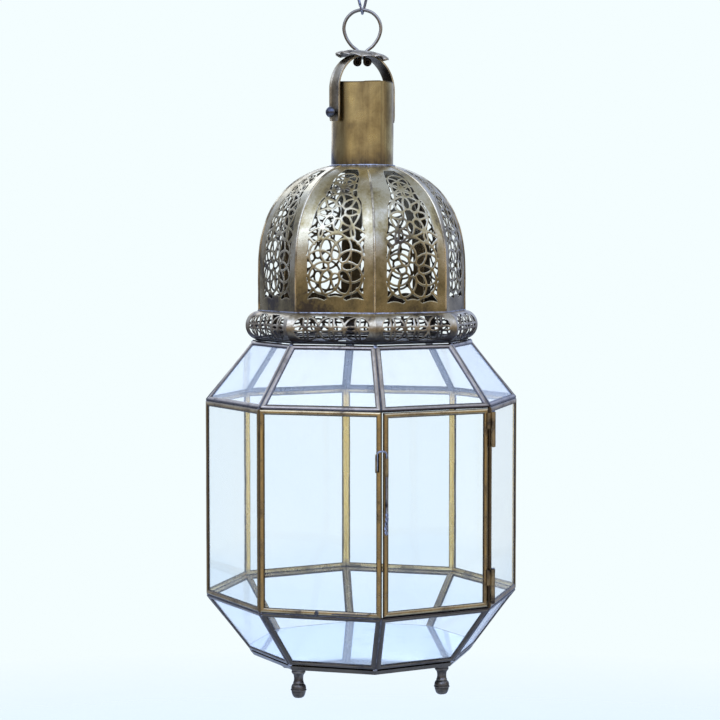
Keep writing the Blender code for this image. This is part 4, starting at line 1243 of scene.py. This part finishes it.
# Link: twisted, so that it lies across the ring at its foot.
LINK_HALF, LINK_LENGTH, LINK_WIRE_R = 0.0052, 0.0270, 0.0014
LINK_TWIST = math.radians(88)
link_foot = RING_TOP - RING_WIRE_R - LINK_WIRE_R - 0.0004
straight = LINK_LENGTH - 2 * LINK_HALF
outline = []
for step in range(24):
    angle = math.pi + math.pi * step / 24
    outline.append((LINK_HALF * math.cos(angle), LINK_HALF + LINK_HALF * math.sin(angle)))
for step in range(12):
    outline.append((LINK_HALF, LINK_HALF + straight * step / 12))
for step in range(24):
    angle = math.pi * step / 24
    outline.append((LINK_HALF * math.cos(angle), LINK_LENGTH - LINK_HALF + LINK_HALF * math.sin(angle)))
for step in range(12, 0, -1):
    outline.append((-LINK_HALF, LINK_HALF + straight * step / 12))
link_points = []
for px, pz in outline:
    twist = math.pi / 2 - LINK_TWIST * pz / LINK_LENGTH
    link_points.append((px * math.cos(twist), px * math.sin(twist), link_foot + pz))
shape = Shape()
tube(shape, link_points, LINK_WIRE_R, 14, closed=True, matrix=turned(RING_TURN))
shape.piece("link_wire", steel_wire, "link", ("hang_link",), angle=60)

# ---------------------------------------------------------------- feet

FOOT_PROFILE = smooth_path(
    [
        (0.0, -0.3, 0), (6.4, -0.3, 0), (7.0, -1.1, 0), (6.5, -2.2, 0), (6.8, -3.2, 0), (6.1, -4.7, 0),
        (4.9, -6.3, 0),
        (4.5, -9.0, 0), (4.6, -12.0, 0), (5.3, -13.8, 0), (5.1, -14.8, 0),
    ],
    4,
) + smooth_path(
    [(5.3, -14.9, 0), (6.6, -16.5, 0), (7.2, -18.6, 0), (7.15, -20.0, 0), (7.65, -20.5, 0), (7.65, -21.2, 0),
     (7.1, -21.6, 0),
     (6.8, -24.0, 0), (5.7, -26.7, 0), (4.4, -28.2, 0), (3.4, -28.47, 0), (0.0, -28.5, 0)],
    4,
)
for number in range(4):
    low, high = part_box(f"foot_{number + 1}")
    spot = Vector(((low.x + high.x) / 2, (low.y + high.y) / 2, Z_BASE))
    shape = Shape()
    profile = [(p.x * MM, max(p.y * MM, -Z_BASE)) for p in FOOT_PROFILE]
    lathe(shape, profile, 36, Matrix.Translation(spot), 0.00025, 220)
    shape.piece(f"foot_turned_{number + 1}", brass_foot, "lantern", (f"foot_{number + 1}",), angle=45)

# ---------------------------------------------------------------- latch and hinges

for node in (
    "latch_guide", "latch_clip", "lower_hinge_fixed", "upper_hinge_fixed", "lower_hinge_door",
    "upper_hinge_door",
):
    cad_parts[node].material_slots[0].material = brass_small
for node in ("lower_hinge_pin", "upper_hinge_pin"):
    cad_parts[node].material_slots[0].material = steel_dark

guide_low, guide_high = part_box("latch_guide")
door_corner = outward(-HALF) * R_WIDE
guide_axis = Vector(((guide_low.x + guide_high.x) / 2, (guide_low.y + guide_high.y) / 2, 0))
TUBE_R = 0.0019
clip_axis = door_corner + Vector(
    (-math.cos(TURN), math.sin(TURN), 0)
) * 0.0036 + outward(-TURN) * (TUBE_R + GAP)
HOOK_FOOT, LATCH_TOP, PULL_TOP, PULL_FOOT = 0.2310, 0.2485, 0.1920, 0.1700
hook = [Vector((clip_axis.x, clip_axis.y, HOOK_FOOT))]
middle_axis, half_reach = (clip_axis + guide_axis) / 2, (guide_axis - clip_axis) / 2
for step in range(19):
    angle = math.pi * step / 18
    spot = middle_axis - half_reach * math.cos(angle) + outward(-HALF) * 0.0014 * math.sin(angle)
    hook.append(Vector((spot.x, spot.y, LATCH_TOP - 0.0030 + 0.0030 * math.sin(angle))))
for z in np.linspace(0.2400, PULL_TOP, 12):
    hook.append(Vector((guide_axis.x, guide_axis.y, z)))
shape = Shape()
tube(shape, hook, 0.0009, 12)
for strand in (0, math.pi):
    path = []
    for step in range(61):
        share = step / 60
        angle = strand + 2 * math.pi * 2.6 * share
        wide = 0.00085 * math.sin(math.pi * min(1, share * 4) / 2)
        z = PULL_TOP + 0.0006 + (PULL_FOOT - PULL_TOP) * share
        bow = 0.0006 * math.sin(math.pi * 2 * share)
        path.append(
            Vector((guide_axis.x + wide * math.cos(angle) + bow, guide_axis.y + wide * math.sin(angle), z))
        )
    tube(shape, path, 0.00088, 10)
shape.piece("latch_wire", steel_wire, "latch", ("latch_pin",), angle=60)

# A solder blob and a bent sliver on the rail to the left of the door.
mark = Shape()
a, b = corner_at(R_WIDE, Z_LOW + 0.0030, -2), corner_at(R_WIDE, Z_LOW + 0.0030, -1)
blob(mark, a.lerp(b, 0.475) - outward(-TURN) * 0.0004, outward(-TURN), 2.4 * MM, 0.0011, 12.5, 0.4)
sliver = []
for share, lift, out in (
    (0.60, -0.2, -0.2), (0.68, 0.0, 0.2), (0.76, 0.3, 0.5), (0.82, 0.5, 0.9), (0.87, 0.9, 1.2),
    (0.905, 1.8, 1.5), (0.93, 3.2, 1.7),
):
    sliver.append(a.lerp(b, share) + Vector((0, 0, lift * MM)) + outward(-TURN) * out * MM)
tube(mark, smooth_path(sliver, 4), lambda share: (0.62 - 0.36 * share) * MM, 8)
mark.piece("rail_blob", solder_dark, "lantern", angle=80)

# ---------------------------------------------------------------- stage, light and camera

BACKGROUND = (0.905, 0.990, 1.0)
FLOOR_Z = -0.60
disc = [(0, 0, FLOOR_Z)]
for ring in range(1, 9):
    for step in range(64):
        angle = 2 * math.pi * step / 64
        disc.append((ring * 0.45 * math.cos(angle), ring * 0.45 * math.sin(angle), FLOOR_Z))
faces = [(0, 1 + i, 1 + (i + 1) % 64) for i in range(64)]
for ring in range(7):
    near, far = 1 + ring * 64, 65 + ring * 64
    faces += [(near + i, far + i, far + (i + 1) % 64, near + (i + 1) % 64) for i in range(64)]
floor_mesh = bpy.data.meshes.new("floor")
floor_mesh.from_pydata(disc, [], faces)
floor = bpy.data.objects.new("floor", floor_mesh)
bpy.context.scene.collection.objects.link(floor)
n = Nodes(bpy.data.materials.new("floor_pale"))
radial = n.new("ShaderNodeVectorMath", {0: n.coords.outputs["Object"]}, operation="LENGTH").outputs["Value"]
grain = n.noise(6.0, 3.0)
n.put(n.shader.inputs["Base Color"], n.ramp(grain, [(0.3, (0.74, 0.79, 0.80)), (0.7, (0.77, 0.82, 0.83))]))
n.shader.inputs["Roughness"].default_value = 0.8
n.mixed(n.span(radial, 1.4, 3.2, 0.0, 1.0), n.new("ShaderNodeBsdfTransparent"))
floor_mesh.materials.append(n.owner)

sky = Nodes(bpy.data.worlds.new("studio"), "Background", "World Output")
bpy.context.scene.world = sky.owner
sky_height = sky.span(sky.split_z("Generated"), -1, 1)


def sky_ramp(stops):
    """Colours of the surroundings by height, from straight down (-1) to straight up (1)."""
    return sky.ramp(sky_height, [((at + 1) / 2, colour) for at, colour in stops])


ZENITH = (0.17, 0.18, 0.21)
BELOW = (0.030, 0.025, 0.021)
front_sky = sky_ramp(
    (
        (-1.0, BELOW), (-0.35, (0.050, 0.040, 0.029)), (0.0, (0.165, 0.138, 0.098)), (
            0.17, (0.110, 0.094, 0.072)
        ),
        (0.40, (0.36, 0.48, 0.86)), (0.74, (0.42, 0.55, 0.99)), (0.90, (0.25, 0.30, 0.43)), (1.0, ZENITH),
    )
)
back_sky = sky_ramp(
    (
        (-1.0, BELOW), (-0.40, (0.05, 0.05, 0.055)), (-0.05, (0.10, 0.118, 0.175)), (
            0.12, (0.14, 0.172, 0.275)
        ),
        (0.50, (0.22, 0.275, 0.42)), (0.90, (0.18, 0.22, 0.32)), (1.0, ZENITH),
    )
)
side_sky = sky_ramp(
    (
        (-1.0, BELOW), (-0.30, (0.030, 0.027, 0.025)), (0.0, (0.056, 0.058, 0.072)), (
            0.25, (0.085, 0.092, 0.118)
        ),
        (0.55, (0.25, 0.30, 0.43)), (0.90, (0.18, 0.22, 0.32)), (1.0, ZENITH),
    )
)
STUDIO_TURN, STUDIO_STRENGTH = math.radians(-29), 3.3
facing = sky.level_facing(sky.coords.outputs["Generated"], outward(STUDIO_TURN))


def sky_share(low, high):
    """How far round to one side of the studio, eased from 0 to 1."""
    inputs = {"Value": facing, "From Min": low, "From Max": high}
    return sky.new("ShaderNodeMapRange", inputs, interpolation_type="SMOOTHSTEP").outputs["Result"]


surround = sky.blend(sky_share(0.15, 0.75), side_sky, front_sky)
surround = sky.blend(sky_share(-0.15, -0.75), surround, back_sky)
sky.put(sky.shader.inputs["Color"], surround)
sky.shader.inputs["Strength"].default_value = STUDIO_STRENGTH
plain = sky.new("ShaderNodeBackground", {"Color": (*BACKGROUND, 1)})
path = sky.new("ShaderNodeLightPath")
seen = sky.math("MAXIMUM", path.outputs["Is Camera Ray"], path.outputs["Is Transmission Ray"])
sky.mixed(seen, plain)


def softbox(name, place_at, aim, size, power, colour):
    data = bpy.data.lights.new(name, "AREA")
    data.shape = "RECTANGLE"
    data.size, data.size_y = size
    data.energy = power
    data.color = colour
    lamp = bpy.data.objects.new(name, data)
    lamp.location = place_at
    lamp.rotation_mode = "QUATERNION"
    lamp.rotation_quaternion = (Vector(aim) - Vector(place_at)).to_track_quat("-Z", "Y")
    lamp.visible_camera = False
    bpy.context.scene.collection.objects.link(lamp)


softbox("key_soft", (-2.2, -1.0, 1.9), (0, 0, 0.35), (1.2, 1.6), 7, (0.82, 0.91, 1.0))
softbox("fill_soft", (2.0, -1.8, 1.0), (0, 0, 0.35), (1.0, 1.6), 4, (1.0, 0.96, 0.90))
softbox("back_soft", (0.6, 2.4, 1.4), (0, 0, 0.35), (1.8, 1.6), 12, (0.92, 0.97, 1.0))

view = bpy.context.scene.view_settings
view.view_transform = "Standard"
view.look = "None"

CAMERA_TURN = math.radians(-29)
camera_data = bpy.data.cameras.new("camera")
camera_data.lens = 102.45
camera_data.sensor_width = 36
camera_data.clip_end = 50
camera = bpy.data.objects.new("camera", camera_data)
camera.location = outward(CAMERA_TURN) * 2.05 + Vector((0, 0, 0.4425))
camera.rotation_euler = (math.radians(90 - 3.3), 0, CAMERA_TURN + math.radians(0.065))
bpy.context.scene.collection.objects.link(camera)
bpy.context.scene.camera = camera

bpy.context.view_layer.update()
